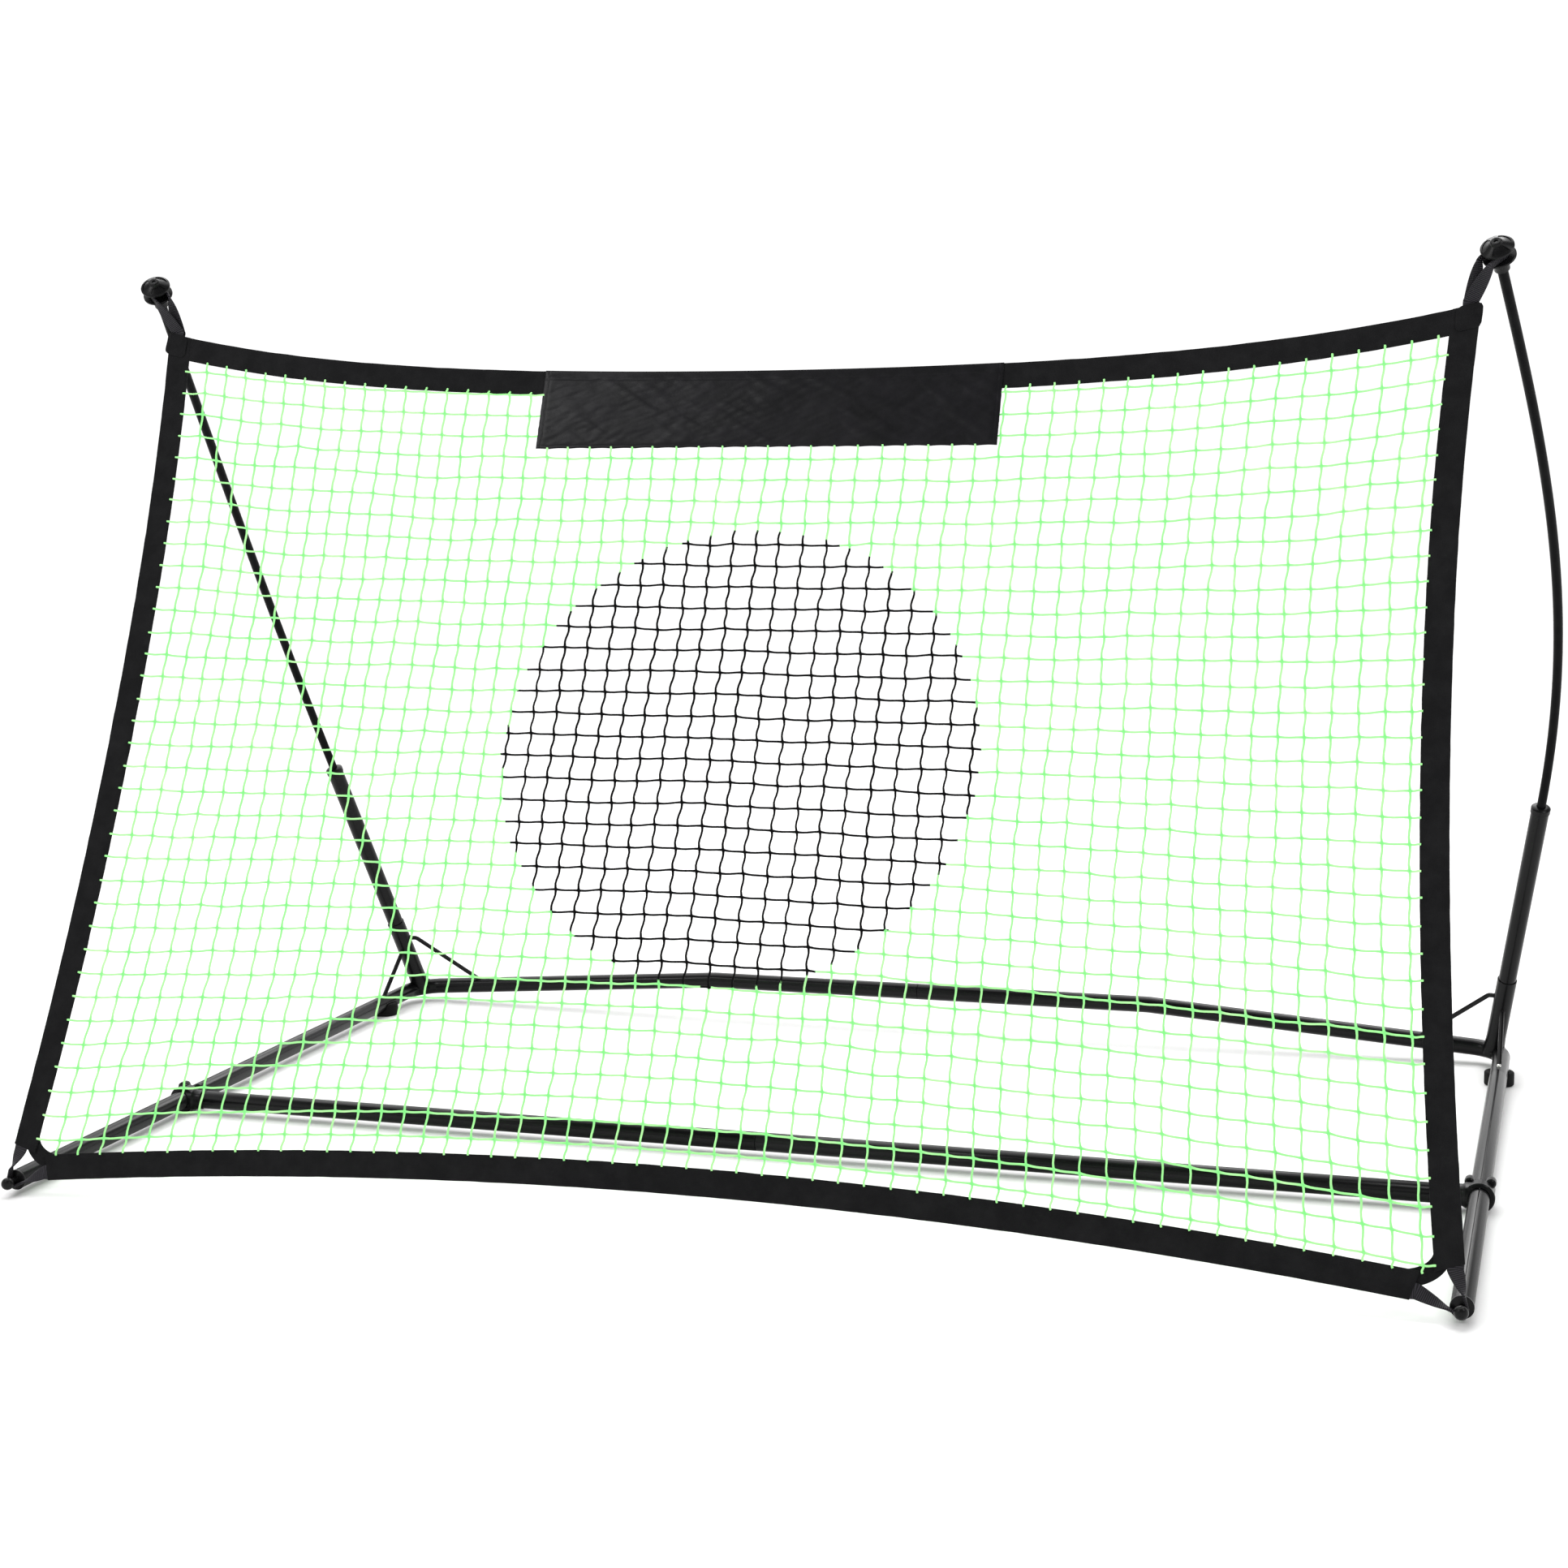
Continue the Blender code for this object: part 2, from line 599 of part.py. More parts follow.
def pole_cap(side, tag):
    """Cap pushed on the pole: sleeve, two discs, neck and a hub with its screw hole."""
    lower, neck, upper = cap_levels()
    rim = CAP_D / 2
    hub = CAP_HUB_D / 2
    top = upper + CAP_RIM + CAP_CONE
    hole = around(POLE_D / 2 + SEAT)
    sleeve = CAP_SLEEVE_D / 2
    screw = CAP_SCREW_D / 2
    outline = [(0, top), (screw, top), (screw, top + CAP_HUB_H - RIM_BEVEL),
               (screw + RIM_BEVEL, top + CAP_HUB_H), (hub - 2 * RIM_BEVEL, top + CAP_HUB_H), (hub, top),
               (rim - RIM_BEVEL, upper + CAP_RIM), (rim, upper + CAP_RIM - RIM_BEVEL),
               (rim, upper + RIM_BEVEL), (rim - RIM_BEVEL, upper),
               (CAP_NECK_D / 2, upper), (CAP_NECK_D / 2, neck), (rim - RIM_BEVEL, neck),
               (rim, neck - RIM_BEVEL), (rim, lower), (sleeve, CAP_SLEEVE_L), (sleeve, 0),
               (hole, 0), (hole, POLE_IN_CAP + SEAT), (0, POLE_IN_CAP + SEAT)]
    tip, ahead = tip_frame(side)
    place = frame_at(tip, ahead)
    cap = turned("pole_cap_" + tag, outline, place, sides=20)
    slope = CAP_CONE / (hub - rim + RIM_BEVEL)
    for n in range(CAP_POCKETS):
        middle = 2 * math.pi * (n + 0.5) / CAP_POCKETS
        sections = []
        for lift in (-CAP_POCKET_DEPTH, CAP_CONE):
            section = []
            for radius, edge in zip(CAP_POCKET_R + CAP_POCKET_R[::-1], (-0.5, -0.5, 0.5, 0.5)):
                angle = middle + edge * CAP_POCKET_ARC
                height = top + (radius - hub) * slope + lift
                section.append(place @ Vector((radius * math.cos(angle), radius * math.sin(angle), height)))
            sections.append(section)
        boolean(cap, lofted("cap_pocket_%s_%d" % (tag, n), sections, cutter=True))
    return finish(cap, "black_nylon")


def front_bar(side, tag):
    """Half of the crossbar between the side tubes."""
    start = side * (HALF - RING_R - CLIP_SHOULDER_L - SEAT)
    level = FRONT_Z + SLOPE * CROSSBAR_Y
    path = [Vector((start, CROSSBAR_Y, level)), Vector(((start + FRONT_JOINT_X) / 2, CROSSBAR_Y, level)),
            Vector((FRONT_JOINT_X, CROSSBAR_Y, level))]
    return hollow_bar("front_bar_" + tag, path, side > 0, "black_powder_coat")


def clip(side, tag):
    """Plastic ring with open jaws behind it and a spigot for the crossbar."""
    bore = around(TUBE_R + RUN)
    ring = RING_R
    middle = tube_axis(CROSSBAR_Y, side)
    place = frame_at(middle, ALONG)
    front = -CLIP_RING_L / 2
    rear = CLIP_RING_L / 2
    tail = rear + CLIP_JAW_L
    outline = [(0, tail), (ring, tail), (ring, front + CLIP_BAND_L),
               (ring + CLIP_BAND, front + CLIP_BAND_L - CLIP_BAND), (ring + CLIP_BAND, front + RIM_BEVEL),
               (ring, front), (0, front)]
    obj = turned("bar_clip_" + tag, outline, place)

    # The jaws are open at the top, behind the ring
    reach = ring * 2
    spread = reach * math.tan(CLIP_MOUTH / 2)
    wedge = [Vector((x, 0, 0)) + UP * z for x, z in ((-RUN, 0), (RUN, 0), (spread, reach), (-spread, reach))]
    sections = [[middle + ALONG * along + corner for corner in wedge] for along in (rear, tail + CLIP_JAW_L)]
    boolean(obj, lofted("clip_mouth_" + tag, sections, cutter=True))

    for edge in (-1, 1):
        angle = CLIP_MOUTH / 2
        mid = bore + CLIP_WALL / 2
        lobe = middle + Vector((edge * mid * math.sin(angle), 0, 0)) + UP * mid * math.cos(angle)
        ends = [lobe + ALONG * (rear + CLIP_LOBE_D / 4), lobe + ALONG * (rear + CLIP_JAW_L - CLIP_LOBE_D / 3),
                lobe + ALONG * (rear + CLIP_JAW_L)]
        radii = [CLIP_LOBE_D / 2, CLIP_LOBE_D / 2, CLIP_LOBE_D / 4]
        bead = swept("clip_lobe_%s_%d" % (tag, edge), ends, radii, sides=8, cutter=True)
        boolean(obj, bead, "UNION")

    shoulder = TUBE_R + CLIP_SHOULDER_LIP
    spigot = SWAGE_R
    inward = Vector((-side, 0, 0))
    length = RING_R + CLIP_SHOULDER_L
    steps = [(0, shoulder + CLIP_ARM_FLARE), (ring, shoulder + CLIP_ARM_FLARE / 2),
             (ring + CLIP_ARM_FLARE, shoulder), (length - RIM_BEVEL, shoulder),
             (length, shoulder - RIM_BEVEL), (length + RIM_BEVEL / 2, spigot),
             (length + CLIP_SPIGOT_L, spigot)]
    arm = swept("clip_arm_" + tag, [middle + inward * along for along, radius in steps],
                [radius for along, radius in steps], cutter=True)
    boolean(obj, arm, "UNION")
    rib = [Vector((x, 0, 0)) + UP * z for x, z in ((-1, bore), (1, bore), (1, ring), (-1, ring))]
    rib = [Vector((corner.x * CLIP_TAB_W / 2, corner.y, corner.z)) for corner in rib]
    raised = [rib[0], rib[1], rib[2] + UP * CLIP_TAB_H, rib[3] + UP * CLIP_TAB_H]
    sections = [[middle + ALONG * along + corner for corner in raised]
                for along in (front + CLIP_BAND_L / 2, rear - RIM_BEVEL)]
    boolean(obj, lofted("clip_tab_" + tag, sections, cutter=True), "UNION")
    ends = [tube_axis(CROSSBAR_Y - CLIP_RING_L * 2, side), tube_axis(CROSSBAR_Y + CLIP_RING_L * 3, side)]
    boolean(obj, swept("clip_bore_" + tag, ends, [bore] * 2, cutter=True))
    return finish(obj, "black_nylon")


def cap_neck(side):
    """Middle of the neck that the top webbing goes round."""
    tip, ahead = tip_frame(side)
    return tip + ahead * (cap_levels()[1] + CAP_NECK_L / 2), ahead


def plug_neck(side):
    """Middle of the neck that the bottom webbing goes round."""
    ball_end = math.sqrt((BALL_D / 2) ** 2 - (PLUG_NECK_D / 2) ** 2)
    return tube_axis((ball_end + PLUG_FLANGE_Y) / 2, side), -ALONG


def net_frame():
    """Foot of the net's plane, its upward direction and the height of its top corners."""
    head = cap_neck(1)[0] + Vector((0, NET_HEAD_SET, 0))
    foot_point = plug_neck(1)[0] - Vector((0, NET_FOOT_SET, 0))
    foot_point.x = 0
    rise = Vector((0, head.y - foot_point.y, head.z - foot_point.z))
    return foot_point, rise.normalized(), rise.length - NET_DROP


NET_FOOT, NET_UP, NET_TOP = net_frame()
NET_FRONT = Vector((-1, 0, 0)).cross(NET_UP).normalized()
if NET_FRONT.y > 0:
    NET_FRONT = -NET_FRONT


def net_point(x, s, out=0.0):
    """Point in the net's plane, x across and s up it, moved out towards the player."""
    return Vector((x, NET_FOOT.y, NET_FOOT.z)) + NET_UP * s + NET_FRONT * out


def side_edge(s):
    """Outer edge of the side hem."""
    if s < WAIST_S:
        return HALF - WAIST_IN + FOOT_FLARE * ((WAIST_S - s) / WAIST_S) ** 2
    return HALF - WAIST_IN + HEAD_FLARE * ((s - WAIST_S) / (NET_TOP - WAIST_S)) ** 2


def top_edge(x):
    share = abs(x) / side_edge(NET_TOP)
    return NET_TOP - TOP_SAG * (1 - TOP_ROUNDNESS * share ** 2 - (1 - TOP_ROUNDNESS) * share ** 4)


def bottom_edge(x):
    return BOTTOM_RISE * (1 - (x / side_edge(0)) ** 2)


def strip(name, edges, out, thickness, kind):
    """Sheet between two edges in the net's plane, given as pairs of (x, s)."""
    sections = []
    for (x1, s1), (x2, s2) in edges:
        sections.append([net_point(x1, s1, out - thickness / 2), net_point(x1, s1, out + thickness / 2),
                         net_point(x2, s2, out + thickness / 2), net_point(x2, s2, out - thickness / 2)])
    return finish(lofted(name, sections), kind)


def hems():
    """Four doubled cloth borders that hold the net's edges."""
    steps = 16
    corner_x = side_edge(NET_TOP)
    inner_x = corner_x - HEM_W
    for side, tag in ((-1, "left"), (1, "right")):
        edges = []
        for n in range(steps + 1):
            outer_s = SIDE_HEM_FOOT + (top_edge(corner_x) - SIDE_HEM_FOOT) * n / steps
            inner_s = SIDE_HEM_FOOT + (top_edge(inner_x) - SIDE_HEM_FOOT) * n / steps
            edges.append(((side * side_edge(outer_s), outer_s),
                          (side * (side_edge(inner_s) - HEM_W), inner_s)))
        strip("hem_" + tag, edges, 0, HEM_T, "black_polyester")
    edges = []
    high_end = side_edge(top_edge(inner_x)) - HEM_W - SEAT
    low_end = side_edge(top_edge(high_end) - HEM_W) - HEM_W - SEAT
    for n in range(steps + 1):
        share = 2 * n / steps - 1
        high_x = share * high_end
        low_x = share * low_end
        edges.append(((low_x, top_edge(low_x) - HEM_W), (high_x, top_edge(high_x))))
    strip("hem_top", edges, 0, HEM_T, "black_polyester")
    edges = []
    for n in range(steps + 1):
        x = (2 * n / steps - 1) * (HALF - BOTTOM_HEM_END)
        edges.append(((x, bottom_edge(x)), (x, bottom_edge(x) + HEM_W)))
    strip("hem_bottom", edges, 0, HEM_T, "black_polyester")


def mesh_point(u, v):
    """Point of the net at u from -1 to 1 across and v from 0 to 1 up, inside the hems."""
    x = u * (side_edge(WAIST_S) - HEM_W)
    low = bottom_edge(x) + HEM_W
    high = top_edge(x) - HEM_W
    s = low + (high - low) * v
    return Vector((u * (side_edge(s) - HEM_W), s))


def in_target(point):
    across = (point.x - TARGET_X) / (TARGET_W / 2)
    up = (point.y - TARGET_S) / (TARGET_H / 2)
    return across ** 2 + up ** 2 < 1


def rim_crossing(inside, outside):
    """Point on the target's rim between two knots of the net."""
    for n in range(30):
        middle = (inside + outside) / 2
        if in_target(middle):
            inside = middle
        else:
            outside = middle
    return inside


def knot_grid():
    """Knots of the net, with its ends at the hems."""
    return {(i, j): mesh_point(2 * i / NET_COLUMNS - 1, j / NET_ROWS)
            for i in range(NET_COLUMNS + 1) for j in range(NET_ROWS + 1)}


def lattice(name, dark, kind):
    """Strands between the knots of one colour, as one open sheet made thick."""
    grid = knot_grid()
    inner = {key for key in grid if 0 < key[0] < NET_COLUMNS and 0 < key[1] < NET_ROWS}
    own = {key for key in inner if in_target(grid[key]) == dark}
    shape = bmesh.new()
    half = STRAND / 2

    def at(point):
        return shape.verts.new(net_point(point.x, point.y))

    corners = {}
    for i, j in own:
        knot = grid[i, j]
        across = (grid[i + 1, j] - grid[i - 1, j]).normalized() * half
        up = (grid[i, j + 1] - grid[i, j - 1]).normalized() * half
        quad = [at(knot - across - up), at(knot + across - up),
                at(knot + across + up), at(knot - across + up)]
        shape.faces.new(quad)
        corners[i, j] = quad
    # Each way out of a knot: the neighbour's step and the two corners that face it
    ways = (((1, 0), (1, 2)), ((0, 1), (2, 3)), ((-1, 0), (3, 0)), ((0, -1), (0, 1)))
    for i, j in own:
        for (di, dj), (a, b) in ways:
            other = (i + di, j + dj)
            here = corners[i, j]
            if other in own:
                if di + dj > 0:
                    there = corners[other]
                    facing = {1: 0, 2: 3, 3: 0} if dj == 0 else {2: 1, 3: 0}
                    shape.faces.new((here[a], there[facing[a]], there[facing[b]], here[b]))
                continue
            if other in inner:
                pair = (grid[i, j], grid[other])
                near = rim_crossing(*pair) if dark else rim_crossing(*pair[::-1])
                gap = TARGET_GAP / 2
            else:
                near = grid[other]
                gap = SEAT * 2
            ahead = (near - grid[i, j]).normalized()
            end = near - ahead * gap
            wide = Vector((-ahead.y, ahead.x)) * half
            shape.faces.new((here[a], at(end - wide), at(end + wide), here[b]))
    bmesh.ops.recalc_face_normals(shape, faces=shape.faces)
    mesh = bpy.data.meshes.new(name)
    shape.to_mesh(mesh)
    shape.free()
    obj = add(name, mesh)
    thick = obj.modifiers.new("strand_thickness", "SOLIDIFY")
    thick.thickness = STRAND
    thick.offset = 0
    return finish(obj, kind)


def banner():
    """Cloth panel sewn over the middle of the top hem, bare."""
    steps = 6
    out = max(HEM_T, STRAND) / 2 + SEAT + BANNER_T / 2
    edges = []
    for n in range(steps + 1):
        x = (n / steps - 0.5) * BANNER_W
        edges.append(((x, top_edge(0) - BANNER_H), (x, top_edge(x))))
    strip("banner", edges, out, BANNER_T, "black_polyester")


def corner_patch(side, tag):
    """Folded patch over each top corner, where the webbing is sewn."""
    out = HEM_T / 2 + SEAT + WEB_T + SEAT + WEB_T / 2
    edges = []
    for inset in (-PATCH_PROUD, PATCH - PATCH_PROUD):
        x = side_edge(NET_TOP) - inset
        edges.append(((side * x, top_edge(x)), (side * x, top_edge(x) - PATCH)))
    strip("corner_patch_" + tag, edges, out, WEB_T, "black_webbing")


def corner_strip(side, tag):
    """Curved strip that bridges the two hems at each bottom corner."""
    out = -(HEM_T / 2 + SEAT + WEB_T / 2)
    side_x = side_edge(SIDE_HEM_FOOT) - HEM_W
    end_x = HALF - BOTTOM_HEM_END
    ends = (Vector((side_x + STRIP_W * 0.6, SIDE_HEM_FOOT + STRIP_W)),
            Vector(((side_x + end_x) / 2, SIDE_HEM_FOOT - STRIP_W / 2)),
            Vector((end_x - STRIP_W, bottom_edge(end_x) + HEM_W / 2)))
    stations = []
    for n in range(STRIP_STEPS + 1):
        t = n / STRIP_STEPS
        p = ends[0] * (1 - t) ** 2 + ends[1] * 2 * t * (1 - t) + ends[2] * t * t
        run = (ends[1] - ends[0]) * (1 - t) + (ends[2] - ends[1]) * t
        wide = Vector((-run.y, run.x)).normalized()
        across = net_point(side * wide.x, wide.y) - net_point(0, 0)
        stations.append((net_point(side * p.x, p.y, out), across, STRIP_W, WEB_T))
    return finish(band("corner_strip_" + tag, stations), "black_webbing")


def webbing_loop(name, neck, axis, neck_r, rim_r, legs):
    """Band round a neck, each leg given as (sewn point, hem's edge, way out, direction across)."""
    radius = neck_r + SEAT + WEB_NECK_T / 2
    flats = []
    for sewn, end, out, across in legs:
        flat = end - neck
        flats.append((flat - flat.dot(axis) * axis).normalized())
    away = -(flats[0] + flats[1]).normalized()
    # Each leg leaves the neck at the tangent on its outer side
    tangents = []
    stations = []
    for (sewn, end, out, across), flat in zip(legs, flats):
        tangent = axis.cross(flat)
        tangent = tangent if tangent.dot(out) > 0 else -tangent
        tangents.append(tangent)
        exit_point = neck + flat * (rim_r + WEB_T) + tangent * radius * WEB_EXIT
        leg = [(sewn, across, WEB_W, WEB_T)]
        for n in range(WEB_STEPS + 1):
            share = n / WEB_STEPS
            width = WEB_W + (WEB_NECK_W - WEB_W) * share
            thickness = WEB_T + (WEB_NECK_T - WEB_T) * share
            # The twist gathers near the neck
            leg.append((end.lerp(exit_point, share), across.slerp(axis, share ** 2), width, thickness))
        stations.append(leg)
    arc = []
    quarter = 4
    for start, stop, first in ((tangents[0], away, 0), (away, tangents[1], 1)):
        for n in range(first, quarter + 1):
            arc.append((neck + start.slerp(stop, n / quarter) * radius, axis, WEB_NECK_W, WEB_NECK_T))
    return finish(band(name, stations[0] + arc + stations[1][::-1]), "black_webbing")


def webbing(side, tag):
    """Webbing from the net's corners to the pole cap and to the front ball."""
    neck, axis = cap_neck(side)
    out = HEM_T / 2 + SEAT + WEB_T / 2
    x = side_edge(NET_TOP) - WEB_CORNER
    inward = Vector((-side, 0, 0))
    legs = []
    # One leg in front of the hem goes to the outer side, and one behind it to the inner side
    for face in (1, -1):
        sewn = net_point(side * x, top_edge(x) - WEB_SEAM, face * out)
        end = net_point(side * x, top_edge(x + WEB_W / 2) + WEB_T, face * out)
        legs.append((sewn, end, inward * -face, inward))
    webbing_loop("top_webbing_" + tag, neck, axis, CAP_NECK_D / 2, CAP_D / 2, legs)

    neck, axis = plug_neck(side)
    side_x = side_edge(SIDE_HEM_FOOT) - HEM_W * WEB_ON_HEM
    end_x = HALF - BOTTOM_HEM_END
    level = bottom_edge(end_x) + HEM_W * WEB_ON_HEM
    sewn = [net_point(side * side_x, SIDE_HEM_FOOT + WEB_SEAM, out),
            net_point(side * (end_x - WEB_SEAM), level, out)]
    ends = [net_point(side * side_x, SIDE_HEM_FOOT - WEB_T, out),
            net_point(side * (end_x + WEB_T), level, out)]
    legs = []
    for k in (0, 1):
        across = NET_FRONT.cross(ends[k] - sewn[k]).normalized()
        across = across if across.dot(NET_FRONT.cross(neck - ends[k])) > 0 else -across
        if axis.dot(NET_FRONT.cross(neck - ends[k])) < 0:
            across = -across
        legs.append((sewn[k], ends[k], ends[k] - ends[1 - k], across))
    webbing_loop("bottom_webbing_" + tag, neck, axis, PLUG_NECK_D / 2, PLUG_R, legs)


def adopt(obj, empty):
    """Hang a moving piece from its empty, in place."""
    obj.parent = empty
    obj.matrix_basis = Matrix.Translation(-empty.location) @ obj.matrix_basis


def centre_on_origin():
    """Move the whole part so that its box stands centred on the origin."""
    bpy.context.view_layer.update()
    graph = bpy.context.evaluated_depsgraph_get()
    reach = []
    for obj in PART.objects:
        if obj.type == "MESH":
            seen = obj.evaluated_get(graph)
            reach += [(seen.matrix_world @ vert.co).y for vert in seen.data.vertices]
    ROOT.location.y = -(min(reach) + max(reach)) / 2
    bpy.context.view_layer.update()


def build():
    for side, tag in ((-1, "left"), (1, "right")):
        drill = button_hole(side, tag)
        fat_r = around(TUBE_R + SEAT)
        path = rear_path(side, SEAM_Y, 0)
        corner = swept("corner_clearance_" + tag, path, [fat_r] * len(path), cutter=True)
        stem = [corner_point(side), corner_point(side) + lean(side) * SOCKET_L]
        stem_r = around(TUBE_R + SEAT + SOCKET_WALL + SEAT)
        plug = swept("socket_clearance_" + tag, stem, [stem_r] * 2, cutter=True)
        rear_bar(side, tag, drill)
        side_tube(side, tag, drill)
        foot(side, tag)
        end_plug(side, tag)
        snap_button(side, tag)
        button_spring(side, tag)
        socket(side, tag, corner)
        braces(side, tag, corner, plug)
        upright(side, tag)
        collar(side, tag)
        pole(side, tag)
        pole_cap(side, tag)
        adopt(front_bar(side, tag), CROSSBAR)
        adopt(clip(side, tag), CROSSBAR)
        corner_patch(side, tag)
        corner_strip(side, tag)
        webbing(side, tag)
    hems()
    banner()
    lattice("net_field", False, "green_cord")
    lattice("net_target", True, "black_cord")
    centre_on_origin()


build()
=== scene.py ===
import bpy
import bmesh
import math
import random
from mathutils import Matrix, Vector, noise
from mathutils.bvhtree import BVHTree
from mathutils.kdtree import KDTree


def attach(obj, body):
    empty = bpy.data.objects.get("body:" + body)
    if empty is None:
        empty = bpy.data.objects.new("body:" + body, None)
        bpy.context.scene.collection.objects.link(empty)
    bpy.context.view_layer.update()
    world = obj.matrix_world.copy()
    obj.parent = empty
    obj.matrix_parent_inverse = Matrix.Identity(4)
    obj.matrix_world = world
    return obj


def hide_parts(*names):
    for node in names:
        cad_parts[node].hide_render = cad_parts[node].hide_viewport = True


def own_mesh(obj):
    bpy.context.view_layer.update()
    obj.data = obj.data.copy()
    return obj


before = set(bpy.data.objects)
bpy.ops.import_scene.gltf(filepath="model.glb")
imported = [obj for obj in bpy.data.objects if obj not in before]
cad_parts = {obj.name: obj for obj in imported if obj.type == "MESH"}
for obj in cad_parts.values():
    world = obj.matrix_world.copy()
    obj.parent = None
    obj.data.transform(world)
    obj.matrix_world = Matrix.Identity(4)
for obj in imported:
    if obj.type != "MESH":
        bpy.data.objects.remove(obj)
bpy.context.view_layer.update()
scene = bpy.context.scene
dice = random.Random(11)   # the same unevenness on every run
sides = ((-1, "left"), (1, "right"))
print("frame loaded:", len(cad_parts), "nodes")


def hexColour(text):
    channels = [int(text[k:k + 2], 16) / 255 for k in (1, 3, 5)]
    return [c / 12.92 if c <= 0.04045 else ((c + 0.055) / 1.055) ** 2.4 for c in channels] + [1]


def addNode(tree, kind, settings=None, links=None):
    item = tree.nodes.new(kind)
    for name, value in (settings or {}).items():
        if name == "stops":
            elements = item.color_ramp.elements
            while len(elements) < len(value):
                elements.new(0.5)
            for element, (position, colour) in zip(elements, value):
                element.position = position
                element.color = hexColour(colour)
        elif isinstance(name, int) or name in item.inputs:
            item.inputs[name].default_value = value
        else:
            setattr(item, name, value)
    for name, source in (links or {}).items():
        tree.links.new(source, item.inputs[name])
    return item


def newMaterial(name, settings):
    material = bpy.data.materials.new(name)
    material.use_nodes = True
    shader = material.node_tree.nodes["Principled BSDF"]
    for key, value in settings.items():
        shader.inputs[key].default_value = value
    return material, material.node_tree, shader


# Steel tube in sprayed and baked powder: satin black, a faint orange peel, bright lines of light
def makePowderCoat():
    coat = {"grain": 0.003, "patch": 0.09, "roughness": (0.2, 0.3), "bump": 0.00006}   # metres; the grain is drawn 3 times its real size
    material, tree, shader = newMaterial("blackPowderCoat", {"IOR": 1.5, "Specular IOR Level": 0.16})
    place = addNode(tree, "ShaderNodeTexCoord").outputs["Object"]
    peel = addNode(tree, "ShaderNodeTexNoise", {"Scale": 1 / coat["grain"], "Detail": 2}, {"Vector": place})
    patch = addNode(tree, "ShaderNodeTexNoise", {"Scale": 1 / coat["patch"], "Detail": 5, "Roughness": 0.6}, {"Vector": place})
    colour = addNode(tree, "ShaderNodeValToRGB", {"stops": ((0.3, "#080809"), (0.75, "#101011"))}, {"Fac": patch.outputs["Fac"]})
    gloss = addNode(tree, "ShaderNodeMapRange", {"To Min": coat["roughness"][0], "To Max": coat["roughness"][1]}, {"Value": patch.outputs["Fac"]})
    bump = addNode(tree, "ShaderNodeBump", {"Strength": 0.5, "Distance": coat["bump"]}, {"Height": peel.outputs["Fac"]})
    tree.links.new(colour.outputs["Color"], shader.inputs["Base Color"])
    tree.links.new(gloss.outputs["Result"], shader.inputs["Roughness"])
    tree.links.new(bump.outputs["Normal"], shader.inputs["Normal"])
    return material


# Drawn steel tube in thin charcoal enamel: the draw marks run along it and catch the light
def makeGreyEnamel():
    enamel = {"mark": 0.0011, "length": 0.30, "grain": 0.004}
    material, tree, shader = newMaterial("charcoalEnamel", {"IOR": 1.5, "Specular IOR Level": 0.26, "Roughness": 0.3})
    place = addNode(tree, "ShaderNodeTexCoord").outputs["Object"]
    stretch = addNode(tree, "ShaderNodeMapping", {"Scale": (1 / enamel["mark"], 1 / enamel["length"], 1 / enamel["mark"])}, {"Vector": place})
    marks = addNode(tree, "ShaderNodeTexNoise", {"Scale": 1.0, "Detail": 3}, {"Vector": stretch.outputs["Vector"]})
    patch = addNode(tree, "ShaderNodeTexNoise", {"Scale": 1 / 0.12, "Detail": 4}, {"Vector": place})
    blend = addNode(tree, "ShaderNodeMath", {"operation": "MULTIPLY_ADD", 1: 0.5}, {0: marks.outputs["Fac"], 2: patch.outputs["Fac"]})
    colour = addNode(tree, "ShaderNodeValToRGB", {"stops": ((0.45, "#101011"), (1.0, "#1c1c1d"))}, {"Fac": blend.outputs["Value"]})
    gloss = addNode(tree, "ShaderNodeMapRange", {"To Min": 0.2, "To Max": 0.3}, {"Value": marks.outputs["Fac"]})
    bump = addNode(tree, "ShaderNodeBump", {"Strength": 0.25, "Distance": 0.00003}, {"Height": marks.outputs["Fac"]})
    tree.links.new(colour.outputs["Color"], shader.inputs["Base Color"])
    tree.links.new(gloss.outputs["Result"], shader.inputs["Roughness"])
    tree.links.new(bump.outputs["Normal"], shader.inputs["Normal"])
    return material


# Injection moulded in a spark-eroded mould: black with a fine even grain and soft highlights
def makeMoulded(name, dark, light, roughness, specular, grain, depth):
    material, tree, shader = newMaterial(name, {"IOR": 1.5, "Specular IOR Level": specular})
    place = addNode(tree, "ShaderNodeTexCoord").outputs["Object"]
    spark = addNode(tree, "ShaderNodeTexNoise", {"Scale": 1 / grain, "Detail": 3, "Roughness": 0.7}, {"Vector": place})
    patch = addNode(tree, "ShaderNodeTexNoise", {"Scale": 1 / 0.02, "Detail": 3}, {"Vector": place})
    colour = addNode(tree, "ShaderNodeValToRGB", {"stops": ((0.3, dark), (0.75, light))}, {"Fac": patch.outputs["Fac"]})
    gloss = addNode(tree, "ShaderNodeMapRange", {"To Min": roughness - 0.05, "To Max": roughness + 0.07}, {"Value": spark.outputs["Fac"]})
    bump = addNode(tree, "ShaderNodeBump", {"Strength": 0.4, "Distance": depth}, {"Height": spark.outputs["Fac"]})
    tree.links.new(colour.outputs["Color"], shader.inputs["Base Color"])
    tree.links.new(gloss.outputs["Result"], shader.inputs["Roughness"])
    tree.links.new(bump.outputs["Normal"], shader.inputs["Normal"])
    return material


